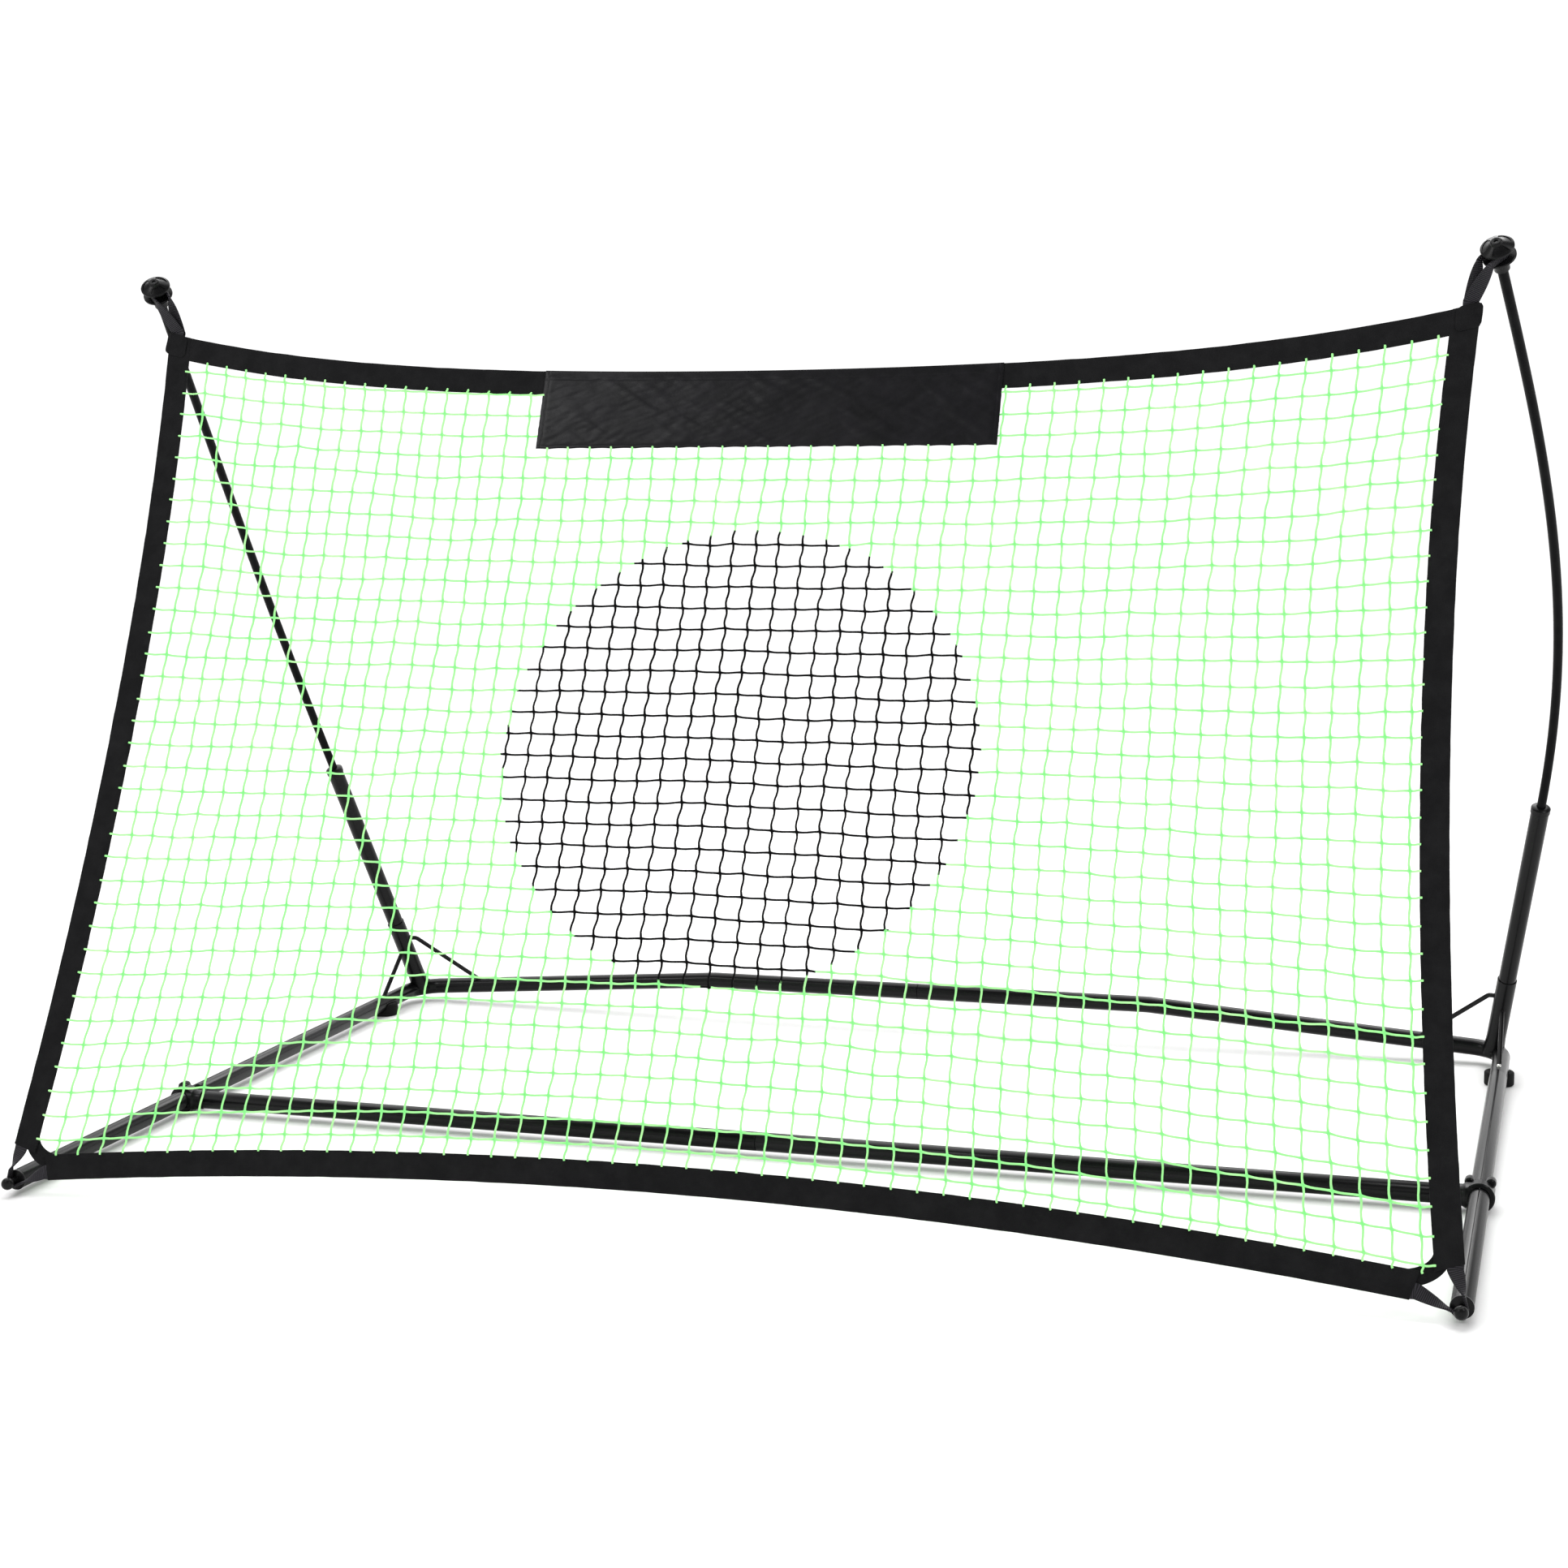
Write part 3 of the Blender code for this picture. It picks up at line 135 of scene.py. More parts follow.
# Nickel on a turned button: bright, with fine rings
def makeNickel(name, colourHex, roughness):
    material, tree, shader = newMaterial(name, {"Metallic": 1.0})
    place = addNode(tree, "ShaderNodeTexCoord").outputs["Object"]
    haze = addNode(tree, "ShaderNodeTexNoise", {"Scale": 1 / 0.0012, "Detail": 2}, {"Vector": place})
    gloss = addNode(tree, "ShaderNodeMapRange", {"To Min": roughness - 0.05, "To Max": roughness + 0.1}, {"Value": haze.outputs["Fac"]})
    shader.inputs["Base Color"].default_value = hexColour(colourHex)
    tree.links.new(gloss.outputs["Result"], shader.inputs["Roughness"])
    return material


# Braided polyethylene cord: fluorescent, with painted shade that deepens the colour where the strands pass through each
# other
def makeCord(name, strand, pale, knot):
    braid = {"pitch": 0.004}   # metres; the real plait is 1.5 mm, drawn coarser so that it shows
    material, tree, shader = newMaterial(name, {"Roughness": 0.6, "IOR": 1.5, "Specular IOR Level": 0.06})
    place = addNode(tree, "ShaderNodeTexCoord").outputs["Object"]
    plait = addNode(tree, "ShaderNodeTexWave", {"wave_type": "BANDS", "bands_direction": "DIAGONAL", "Scale": 1 / braid["pitch"] / 3, "Distortion": 1.5}, {"Vector": place})
    patch = addNode(tree, "ShaderNodeTexNoise", {"Scale": 1 / 0.05, "Detail": 3}, {"Vector": place})
    ground = addNode(tree, "ShaderNodeValToRGB", {"stops": ((0.35, strand), (0.7, pale))}, {"Fac": patch.outputs["Fac"]})
    # painted shade: near each knot the cord's colour is mixed toward the darker knot colour, standing in for shade at
    # the crossings
    crossingShade = addNode(tree, "ShaderNodeAttribute", {"attribute_name": "knot"})
    colour = addNode(tree, "ShaderNodeMix", {"data_type": "RGBA", 7: hexColour(knot)}, {0: crossingShade.outputs["Fac"], 6: ground.outputs["Color"]})
    bump = addNode(tree, "ShaderNodeBump", {"Strength": 0.5, "Distance": 0.0003}, {"Height": plait.outputs["Fac"]})
    tree.links.new(colour.outputs[2], shader.inputs["Base Color"])
    tree.links.new(bump.outputs["Normal"], shader.inputs["Normal"])
    return material


# Woven polyester: a plain weave whose threads show as a faint grid, matt with a little sheen
def makePolyester(name, dark, light, thread, share, roughness, sheen, specular):
    material, tree, shader = newMaterial(name, {"Roughness": roughness, "Specular IOR Level": specular, "Sheen Weight": sheen, "Sheen Roughness": 0.5})
    cloth = addNode(tree, "ShaderNodeUVMap", {"uv_map": "cloth"}).outputs["UV"]
    place = addNode(tree, "ShaderNodeTexCoord").outputs["Object"]
    warp = addNode(tree, "ShaderNodeTexWave", {"bands_direction": "X", "Scale": 0.314 / thread}, {"Vector": cloth})
    weft = addNode(tree, "ShaderNodeTexWave", {"bands_direction": "Y", "Scale": 0.314 / thread}, {"Vector": cloth})
    weave = addNode(tree, "ShaderNodeMath", {"operation": "MULTIPLY"}, {0: warp.outputs["Fac"], 1: weft.outputs["Fac"]})
    patch = addNode(tree, "ShaderNodeTexNoise", {"Scale": 1 / 0.025, "Detail": 4, "Roughness": 0.65}, {"Vector": place})
    blend = addNode(tree, "ShaderNodeMath", {"operation": "MULTIPLY_ADD", 1: share}, {0: weave.outputs["Value"], 2: patch.outputs["Fac"]})
    colour = addNode(tree, "ShaderNodeValToRGB", {"stops": ((0.4, dark), (0.95, light))}, {"Fac": blend.outputs["Value"]})
    seam = addNode(tree, "ShaderNodeAttribute", {"attribute_name": "seam"})
    height = addNode(tree, "ShaderNodeMath", {"operation": "SUBTRACT"}, {0: blend.outputs["Value"], 1: seam.outputs["Fac"]})
    bump = addNode(tree, "ShaderNodeBump", {"Strength": 0.6, "Distance": 0.0004}, {"Height": height.outputs["Value"]})
    tree.links.new(colour.outputs["Color"], shader.inputs["Base Color"])
    tree.links.new(bump.outputs["Normal"], shader.inputs["Normal"])
    return material


# Ribbed polypropylene webbing: the weft stands up in ribs, and their tops are painted lighter as a painted highlight,
# on top of the shine from their bump
def makeWebbing():
    rib = {"pitch": 0.0022}
    material, tree, shader = newMaterial("ribbedWebbing", {"Roughness": 0.5, "Specular IOR Level": 0.2})
    cloth = addNode(tree, "ShaderNodeUVMap", {"uv_map": "cloth"}).outputs["UV"]
    place = addNode(tree, "ShaderNodeTexCoord").outputs["Object"]
    ribs = addNode(tree, "ShaderNodeTexWave", {"bands_direction": "X", "Scale": 0.314 / rib["pitch"]}, {"Vector": cloth})
    fibre = addNode(tree, "ShaderNodeTexWave", {"bands_direction": "Y", "Scale": 0.314 / 0.0012}, {"Vector": cloth})
    patch = addNode(tree, "ShaderNodeTexNoise", {"Scale": 1 / 0.012, "Detail": 3}, {"Vector": place})
    # painted highlight: the rib wave lifts the colour along each rib's top; the noise patch adds random tone
    ribHighlightAndTone = addNode(tree, "ShaderNodeMath", {"operation": "MULTIPLY_ADD", 1: 0.3}, {0: patch.outputs["Fac"], 2: ribs.outputs["Fac"]})
    colour = addNode(tree, "ShaderNodeValToRGB", {"stops": ((0.35, "#0d0d0f"), (1.0, "#302e34"))}, {"Fac": ribHighlightAndTone.outputs["Value"]})
    height = addNode(tree, "ShaderNodeMath", {"operation": "MULTIPLY_ADD", 1: 0.25}, {0: fibre.outputs["Fac"], 2: ribs.outputs["Fac"]})
    bump = addNode(tree, "ShaderNodeBump", {"Strength": 0.7, "Distance": 0.0005}, {"Height": height.outputs["Value"]})
    tree.links.new(colour.outputs["Color"], shader.inputs["Base Color"])
    tree.links.new(bump.outputs["Normal"], shader.inputs["Normal"])
    return material


powderCoat = makePowderCoat()
greyEnamel = makeGreyEnamel()
mouldedNylon = makeMoulded("mouldedNylon", "#09090a", "#121213", 0.28, 0.16, 0.0015, 0.000015)
mouldedRubber = makeMoulded("mouldedRubber", "#0b0b0b", "#131313", 0.72, 0.12, 0.002, 0.00006)
fibreglass = makeMoulded("pultrudedFibreglass", "#08080a", "#101011", 0.3, 0.05, 0.003, 0.000012)
nickel = makeNickel("nickelPlate", "#cfcfcb", 0.22)
springSteel = makeNickel("springSteel", "#8d8f90", 0.35)
# each cord's last colour is its painted shade at the knots, where the strands cross
greenCord = makeCord("fluorescentCord", "#a3fc9b", "#c2ffb0", "#82f58a")
blackCord = makeCord("blackCord", "#050506", "#0a0a0b", "#040405")
hemCloth = makePolyester("hemPolyester", "#171718", "#222223", 0.0016, 0.16, 0.85, 0.02, 0.05)
bannerCloth = makePolyester("bannerPolyester", "#0f0f11", "#1d1c20", 0.0013, 0.05, 0.34, 0.02, 0.14)
webbingCloth = makeWebbing()
print("finishes made")


# Everything below is measured from the front balls' middle, in metres
base = {
    "ballY": -0.6098316, "ballZ": 0.0179104, "climb": 0.00238672,
    "half": 0.9, "tubeR": 0.0127, "boreR": 0.0115, "spigotR": 0.0112,
    "tubeStart": 0.0213, "crossbar": 0.440, "seam": 1.040, "button": 1.062, "foot": 1.085, "rear": 1.215,
    "elbowR": 0.045, "archHalf": 0.360, "archRise": 0.040, "archBendR": 0.150,
    "rearJoint": -0.012, "frontJoint": -0.035, "overlap": 0.050, "rim": 0.0006, "gap": 0.0003,
}
along = Vector((0, 1, base["climb"])).normalized()
upward = Vector((0, -base["climb"], 1)).normalized()


def axisPoint(y, side):
    return Vector((side * base["half"], base["ballY"] + y, base["ballZ"] + base["climb"] * y))


def leanOf(side):
    return Vector((side * 0.1400, -0.4007, 0.9055)).normalized()


def cornerPoint(side):
    inset = base["elbowR"] * (1 - math.sqrt(0.5))
    bend = axisPoint(base["rear"], side)
    return Vector((bend.x - side * inset, bend.y - inset, bend.z))


def rearBarPoint(x):
    rise = min(1, max(0, (base["half"] - abs(x)) / (base["half"] - base["archHalf"])))
    bend = axisPoint(base["rear"], 0)
    return Vector((x, bend.y, bend.z + base["archRise"] * rise))


def turnTo(origin, direction):
    return Matrix.Translation(origin) @ Vector(direction).to_track_quat("Z", "Y").to_matrix().to_4x4()


def addObject(name, mesh):
    piece = bpy.data.objects.new(name, mesh)
    scene.collection.objects.link(piece)
    return piece


def smoothByAngle(mesh, degrees=35):
    mesh.shade_smooth()
    mesh.set_sharp_from_angle(angle=math.radians(degrees))


def pieceFrom(shape, name, degrees=35):
    mesh = bpy.data.meshes.new(name)
    shape.to_mesh(mesh)
    shape.free()
    smoothByAngle(mesh, degrees)
    return addObject(name, mesh)


def settle(piece, degrees=35):   # turns a piece's modifiers into plain mesh
    bpy.context.view_layer.update()
    graph = bpy.context.evaluated_depsgraph_get()
    mesh = bpy.data.meshes.new_from_object(piece.evaluated_get(graph), preserve_all_data_layers=True, depsgraph=graph)
    piece.modifiers.clear()
    piece.data = mesh
    smoothByAngle(mesh, degrees)
    return piece


def finishPiece(piece, material, slot, nodes=(), body="frame"):
    piece.data.materials.clear()
    piece.data.materials.append(material)
    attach(piece, body)
    if nodes:
        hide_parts(*nodes)
    return piece


def lathe(name, outline, place, steps=48, closed=False):   # outline of (radius, height), spun round Z
    shape = bmesh.new()
    points = [shape.verts.new((radius, 0, height)) for radius, height in outline]
    ring = points + points[:1] if closed else points
    edges = [shape.edges.new(pair) for pair in zip(ring, ring[1:])]
    bmesh.ops.spin(shape, geom=points + edges, cent=(0, 0, 0), axis=(0, 0, 1), angle=math.tau, steps=steps, use_merge=True)
    bmesh.ops.remove_doubles(shape, verts=shape.verts, dist=0.000002)
    bmesh.ops.recalc_face_normals(shape, faces=shape.faces)
    bmesh.ops.transform(shape, matrix=place, verts=shape.verts)
    return pieceFrom(shape, name)


def softenEdges(piece, width, segments=2, degrees=30):
    step = piece.modifiers.new("soften", "BEVEL")
    step.width = width
    step.segments = segments
    step.limit_method = "ANGLE"
    step.angle_limit = math.radians(degrees)
    step.use_clamp_overlap = True
    return settle(piece)


def cutWith(piece, tool, operation="DIFFERENCE"):
    step = piece.modifiers.new("cut", "BOOLEAN")
    step.operation = operation
    step.object = tool
    step.solver = "EXACT"
    settle(piece)
    bpy.data.objects.remove(tool, do_unlink=True)
    return piece


def strandMesh(name, lines, sideCount):   # lines of (point, radius)
    curve = bpy.data.curves.new(name, "CURVE")
    curve.dimensions = "3D"
    curve.twist_mode = "MINIMUM"
    curve.bevel_depth = 1.0
    curve.bevel_resolution = sideCount // 2 - 2
    curve.use_fill_caps = True
    for line in lines:
        spline = curve.splines.new("POLY")
        spline.points.add(len(line) - 1)
        for knot, (point, radius) in zip(spline.points, line):
            knot.co = (*point, 1)
            knot.radius = radius
    guide = addObject(name + "Guide", curve)
    bpy.context.view_layer.update()
    graph = bpy.context.evaluated_depsgraph_get()
    mesh = bpy.data.meshes.new_from_object(guide.evaluated_get(graph))
    bpy.data.objects.remove(guide, do_unlink=True)
    bpy.data.curves.remove(curve)
    shape = bmesh.new()
    shape.from_mesh(mesh)
    bpy.data.meshes.remove(mesh)
    bmesh.ops.remove_doubles(shape, verts=shape.verts, dist=0.000001)
    bmesh.ops.recalc_face_normals(shape, faces=shape.faces)
    return pieceFrom(shape, name, 50)


def rod(name, points, radii, sideCount=32):
    return strandMesh(name, [list(zip(points, radii))], sideCount)


def roundCorners(points, radii, steps):
    path = [points[0]]
    for k in range(1, len(points) - 1):
        corner = points[k]
        back = (points[k - 1] - corner).normalized()
        ahead = (points[k + 1] - corner).normalized()
        half = back.angle(ahead) / 2
        centre = corner + (back + ahead).normalized() * radii[k - 1] / math.sin(half)
        start = (corner + back * radii[k - 1] / math.tan(half) - centre).normalized()
        end = (corner + ahead * radii[k - 1] / math.tan(half) - centre).normalized()
        path += [centre + start.slerp(end, n / steps[k - 1]) * radii[k - 1] for n in range(steps[k - 1] + 1)]
    return path + [points[-1]]


# Camera at the photograph's angle, for its 1932 x 1932 picture
def placeCamera():
    view = {"place": (1.014678, -3.372071, 0.961108), "yaw": 17.4640, "pitch": 7.7640, "roll": -0.5762, "focal": 3189.0, "picture": 1932}
    yaw, pitch, roll = (math.radians(view[key]) for key in ("yaw", "pitch", "roll"))
    ahead = Vector((-math.sin(yaw) * math.cos(pitch), math.cos(yaw) * math.cos(pitch), -math.sin(pitch)))
    level = Vector((math.cos(yaw), math.sin(yaw), 0))
    top = level.cross(ahead)
    right = level * math.cos(roll) + top * math.sin(roll)
    up = top * math.cos(roll) - level * math.sin(roll)
    data = bpy.data.cameras.new("camera")
    data.sensor_width = 36
    data.lens = view["focal"] / view["picture"] * 36
    data.clip_end = 100
    camera = bpy.data.objects.new("camera", data)
    scene.collection.objects.link(camera)
    turn = Matrix((right, up, -ahead)).transposed().to_4x4()
    camera.matrix_world = Matrix.Translation(view["place"]) @ turn
    scene.camera = camera


# White studio: a white floor, a white surround up to eye height, a dimmer ceiling, a broad key and three soft boxes
def placeStudio():
    studio = {"backdrop": 1.1, "room": 0.24, "key": 2.5, "boxes": (
        ((-2.4, -2.6, 3.6), 1.4, 40), ((3.0, -1.0, 3.2), 1.1, 25), ((0.4, 3.0, 3.6), 2.0, 40))}
    world = bpy.data.worlds.new("studio")
    world.use_nodes = True
    tree = world.node_tree
    way = addNode(tree, "ShaderNodeTexCoord").outputs["Generated"]
    rise = addNode(tree, "ShaderNodeSeparateXYZ", None, {0: way}).outputs["Z"]
    glow = addNode(tree, "ShaderNodeMapRange", {"interpolation_type": "SMOOTHSTEP", "From Min": 0.3, "From Max": 0.65,
                                                "To Min": studio["backdrop"], "To Max": studio["room"]}, {"Value": rise})
    tree.nodes["Background"].inputs["Color"].default_value = (1, 1, 1, 1)
    tree.links.new(glow.outputs["Result"], tree.nodes["Background"].inputs["Strength"])
    scene.world = world
    scene.view_settings.view_transform = "Standard"
    shape = bmesh.new()
    bmesh.ops.create_grid(shape, x_segments=4, y_segments=4, size=80)
    floor = pieceFrom(shape, "floor")
    material, tree, shader = newMaterial("paintedFloor", {"Roughness": 0.8, "Specular IOR Level": 0.1})
    place = addNode(tree, "ShaderNodeTexCoord").outputs["Object"]
    patch = addNode(tree, "ShaderNodeTexNoise", {"Scale": 1.5, "Detail": 4}, {"Vector": place})
    colour = addNode(tree, "ShaderNodeValToRGB", {"stops": ((0.3, "#f9f8f8"), (0.8, "#fdfdfd"))}, {"Fac": patch.outputs["Fac"]})
    tree.links.new(colour.outputs["Color"], shader.inputs["Base Color"])
    floor.data.materials.append(material)
    key = bpy.data.lights.new("keyLight", "SUN")   # far and broad, so the whole floor is lit alike
    key.energy = studio["key"]
    key.angle = math.radians(70)
    lamp = bpy.data.objects.new("keyLight", key)
    lamp.rotation_euler = (math.radians(-26), math.radians(-12), 0)
    scene.collection.objects.link(lamp)
    for k, (spot, size, power) in enumerate(studio["boxes"]):
        data = bpy.data.lights.new("softBox%d" % k, "AREA")
        data.shape = "DISK"
        data.size = size
        data.energy = power
        lamp = bpy.data.objects.new("softBox%d" % k, data)
        lamp.location = spot
        lamp.rotation_euler = (Vector((0, 0, 0.4)) - Vector(spot)).to_track_quat("-Z", "Y").to_euler()
        scene.collection.objects.link(lamp)


placeCamera()
placeStudio()
print("camera and studio placed")


# The net's plane: x across, s up the plane from the balls' level, out towards the player
net = {
    "foot": Vector((0, -0.6049244, 0.0179398)), "up": Vector((0, 0.3750736, 0.926995)), "out": Vector((0, -0.926995, 0.3750736)),
    "head": 1.1702596, "waist": 0.797, "waistHalf": 0.860, "footFlare": 0.0478, "headFlare": 0.0151,
    "sag": 0.071, "roundness": 0.53, "bottomRise": 0.0546,
    "hemWidth": 0.033, "hemThick": 0.003, "sideFoot": 0.045, "bottomEnd": 0.850,
    "bannerHalf": 0.306, "bannerHeight": 0.104,
    "targetX": 0.011, "targetS": 0.593, "targetHalf": (0.306, 0.289),
}


def netPoint(x, s, out=0.0):
    return net["foot"] + Vector((x, 0, 0)) + net["up"] * s + net["out"] * out


def sideEdge(s):
    if s < net["waist"]:
        return net["waistHalf"] + net["footFlare"] * ((net["waist"] - s) / net["waist"]) ** 2
    return net["waistHalf"] + net["headFlare"] * ((s - net["waist"]) / (net["head"] - net["waist"])) ** 2


def topEdge(x):
    share = abs(x) / sideEdge(net["head"])
    return net["head"] - net["sag"] * (1 - net["roundness"] * share ** 2 - (1 - net["roundness"]) * share ** 4)


def bottomEdge(x):
    return net["bottomRise"] * (1 - (x / sideEdge(0)) ** 2)


def meshPoint(u, v):
    x = u * (net["waistHalf"] - net["hemWidth"])
    low = bottomEdge(x) + net["hemWidth"]
    s = low + (topEdge(x) - net["hemWidth"] - low) * v
    return Vector((u * (sideEdge(s) - net["hemWidth"]), s))


bannerFoot = topEdge(0) - net["bannerHeight"]


def smoothStep(value):
    value = min(1, max(0, value))
    return value * value * (3 - 2 * value)


# The net: 55 strands up and 35 across, knotless, cut at the target's rim and sewn over the hems
def weaveNet():
    cord = {
        "columns": 27, "rows": 17, "pitchU": 0.03615, "middleU": 0.011, "pitchV": 0.0288, "middleV": 0.5083,
        "droop": 0.000016, "tilt": 0.0002, "wander": 0.0028, "jitter": 0.0006,
        "greenR": 0.00125, "blackR": 0.00135, "knotSwell": 1.45, "crossingShadeReach": 0.0034,
        "bow": (0.0004, 0.0005), "curl": (0.0007, 0.0012), "slack": (0.0006, 0.0006), "overHem": 0.0026,
        "stops": ((0.09, 1.15), (0.25, 1), (0.42, 1), (0.58, 1), (0.75, 1), (0.91, 1.15)),
    }

    def knotAt(i, j):
        u = cord["middleU"] + cord["pitchU"] * i
        v = cord["middleV"] + cord["pitchV"] * j - cord["droop"] * i * i - cord["tilt"] * i
        spot = meshPoint(u, v)
        edge = min(1, (1 - abs(u)) * 12 + 0.15, (1 - v) * 12 + 0.15, v * 12 + 0.15)
        spot.x += (noise.noise((i * 0.33, j * 0.27, 1.7)) * cord["wander"] + dice.gauss(0, cord["jitter"])) * edge
        spot.y += (noise.noise((i * 0.29, j * 0.31, 8.3)) * cord["wander"] + dice.gauss(0, cord["jitter"])) * edge
        return spot

    def inTarget(spot):
        across = (spot.x - net["targetX"]) / net["targetHalf"][0]
        up = (spot.y - net["targetS"]) / net["targetHalf"][1]
        return across * across + up * up < 1

    def liftAt(spot):   # the strands come up over the hems and the banner's edge
        toHem = min(spot.y - bottomEdge(spot.x) - net["hemWidth"], topEdge(spot.x) - net["hemWidth"] - spot.y,
                    sideEdge(spot.y) - net["hemWidth"] - abs(spot.x))
        lift = (net["hemThick"] / 2 + 0.0014) * (1 - smoothStep(toHem / 0.012))
        if abs(spot.x) < net["bannerHalf"] and spot.y < bannerFoot + 0.003:
            lift = max(lift, (net["hemThick"] / 2 + 0.0034) * (1 - smoothStep((bannerFoot - spot.y) / 0.012)))
        return lift

    knots = {(i, j): knotAt(i, j) for i in range(-cord["columns"], cord["columns"] + 1) for j in range(-cord["rows"], cord["rows"] + 1)}

    def underBanner(spot, reach=0.0):
        return abs(spot.x) < net["bannerHalf"] - reach and spot.y > bannerFoot + reach

    green = {"across": [], "up": []}
    black = []

    def bend(one, two, t, kind):
        dark = 1 if inTarget((one + two) / 2) else 0
        spot = one.lerp(two, t)
        if kind == "up":
            spot.x -= cord["bow"][dark] * math.sin(math.pi * t) + cord["curl"][dark] * math.sin(2 * math.pi * t)
        else:
            spot.y -= cord["slack"][dark] * (math.sin(math.pi * t) + 0.5 * math.sin(2 * math.pi * t))
        return spot

    def layStrand(stops, kind):   # stops of (spot, is a knot); splits into green and black runs
        samples = []
        for (one, isKnot), (two, nextIsKnot) in zip(stops, stops[1:]):
            samples.append((one, cord["knotSwell"] if isKnot else 1))
            samples += [(bend(one, two, t, kind), swell) for t, swell in cord["stops"]]
        samples.append((stops[-1][0], 1))
        run = [samples[0]]
        dark = inTarget(samples[0][0])
        runs = []
        for sample in samples[1:]:
            if inTarget(sample[0]) != dark:
                inside, outside = (run[-1][0], sample[0]) if dark else (sample[0], run[-1][0])
                for n in range(12):
                    middle = (inside + outside) / 2
                    inside, outside = (middle, outside) if inTarget(middle) else (inside, middle)
                runs.append((dark, run + [(inside, 1)]))
                run = [(inside, 1)]
                dark = not dark
            run.append(sample)
        runs.append((dark, run))
        for isDark, spots in runs:
            radius = cord["blackR"] if isDark else cord["greenR"]
            if isDark:   # cut ends stick out past the rim by a few millimetres
                for end, before in ((0, 1), (-1, -2)):
                    ahead = (spots[end][0] - spots[before][0]).normalized()
                    spots[end] = (spots[end][0] + ahead * dice.uniform(0.001, 0.0045), 1)
            line = [(netPoint(s.x, s.y, liftAt(s)), radius * swell) for s, swell in spots]
            (black if isDark else green[kind]).append(line)

    for i in range(-cord["columns"], cord["columns"] + 1):
        column = [knots[i, j] for j in range(-cord["rows"], cord["rows"] + 1)]
        low = column[0]
        start = Vector((low.x, bottomEdge(low.x) + net["hemWidth"] - cord["overHem"] * dice.uniform(0.6, 1.2)))
        stops = [(start, False)] + [(spot, True) for spot in column if not underBanner(spot, -0.003)]
        last = stops[-1][0]
        if abs(last.x) < net["bannerHalf"] + 0.002 and last.y < bannerFoot:
            end = Vector((last.x, bannerFoot + dice.uniform(0.0002, 0.0014)))
        else:
            end = Vector((last.x, topEdge(last.x) - net["hemWidth"] + cord["overHem"] * dice.uniform(0.6, 1.2)))
        layStrand(stops + [(end, False)], "up")

    for j in range(-cord["rows"], cord["rows"] + 1):
        row = [knots[i, j] for i in range(-cord["columns"], cord["columns"] + 1)]
        ends = []
        for spot, side in ((row[0], -1), (row[-1], 1)):
            ends.append(Vector((side * (sideEdge(spot.y) - net["hemWidth"] + cord["overHem"] * dice.uniform(0.6, 1.2)), spot.y + dice.uniform(-0.001, 0.001))))
        stops = [(ends[0], False)] + [(spot, True) for spot in row] + [(ends[1], False)]
        if underBanner(row[cord["columns"]]):   # the banner takes the middle of these rows
            left = [stop for stop in stops if stop[0].x < -net["bannerHalf"]]
            right = [stop for stop in stops if stop[0].x > net["bannerHalf"]]
            left.append((Vector((-net["bannerHalf"] + dice.uniform(0.002, 0.004), left[-1][0].y)), False))
            right.insert(0, (Vector((net["bannerHalf"] - dice.uniform(0.002, 0.004), right[0][0].y)), False))
            layStrand(left, "across")
            layStrand(right, "across")
        else:
            layStrand(stops, "across")

    tree = KDTree(len(knots))
    for k, spot in enumerate(knots.values()):
        tree.insert(netPoint(spot.x, spot.y), k)
    tree.balance()
    pieces = []
    for name, lines, material, slot, node in (("netGreenAcross", green["across"], greenCord, "green_cord", "net_field"),
                                             ("netGreenUp", green["up"], greenCord, "green_cord", "net_field"),
                                             ("netTarget", black, blackCord, "black_cord", "net_target")):
        piece = strandMesh(name, lines, 6)
        # how near each point lies to a knot; the cord material uses it to paint shade at the crossings
        crossingShade = piece.data.attributes.new("knot", "FLOAT", "POINT")
        values = [1 - smoothStep((tree.find(vert.co)[2] - 0.0012) / cord["crossingShadeReach"]) for vert in piece.data.vertices]
        crossingShade.data.foreach_set("value", values)
        pieces.append(finishPiece(piece, material, slot, (node,)))
    return pieces


weaveNet()
print("net woven")


def clothPiece(name, stepsA, stepsB, place, sizeA, sizeB, thickness, seamAt=None):
    shape = bmesh.new()
    bmesh.ops.create_grid(shape, x_segments=stepsA, y_segments=stepsB, size=0.5)
    layer = shape.loops.layers.uv.new("cloth")
    seam = shape.verts.layers.float.new("seam")
    for face in shape.faces:
        for loop in face.loops:
            loop[layer].uv = ((loop.vert.co.x + 0.5) * sizeA, (loop.vert.co.y + 0.5) * sizeB)
    for vert in shape.verts:
        a, b = vert.co.x + 0.5, vert.co.y + 0.5
        vert[seam] = seamAt(a, b) if seamAt else 0
        vert.co = place(a, b)
    piece = pieceFrom(shape, name, 60)
    thick = piece.modifiers.new("thick", "SOLIDIFY")
    thick.thickness = thickness
    thick.offset = 0
    return softenEdges(piece, thickness * 0.3, 2, 50)


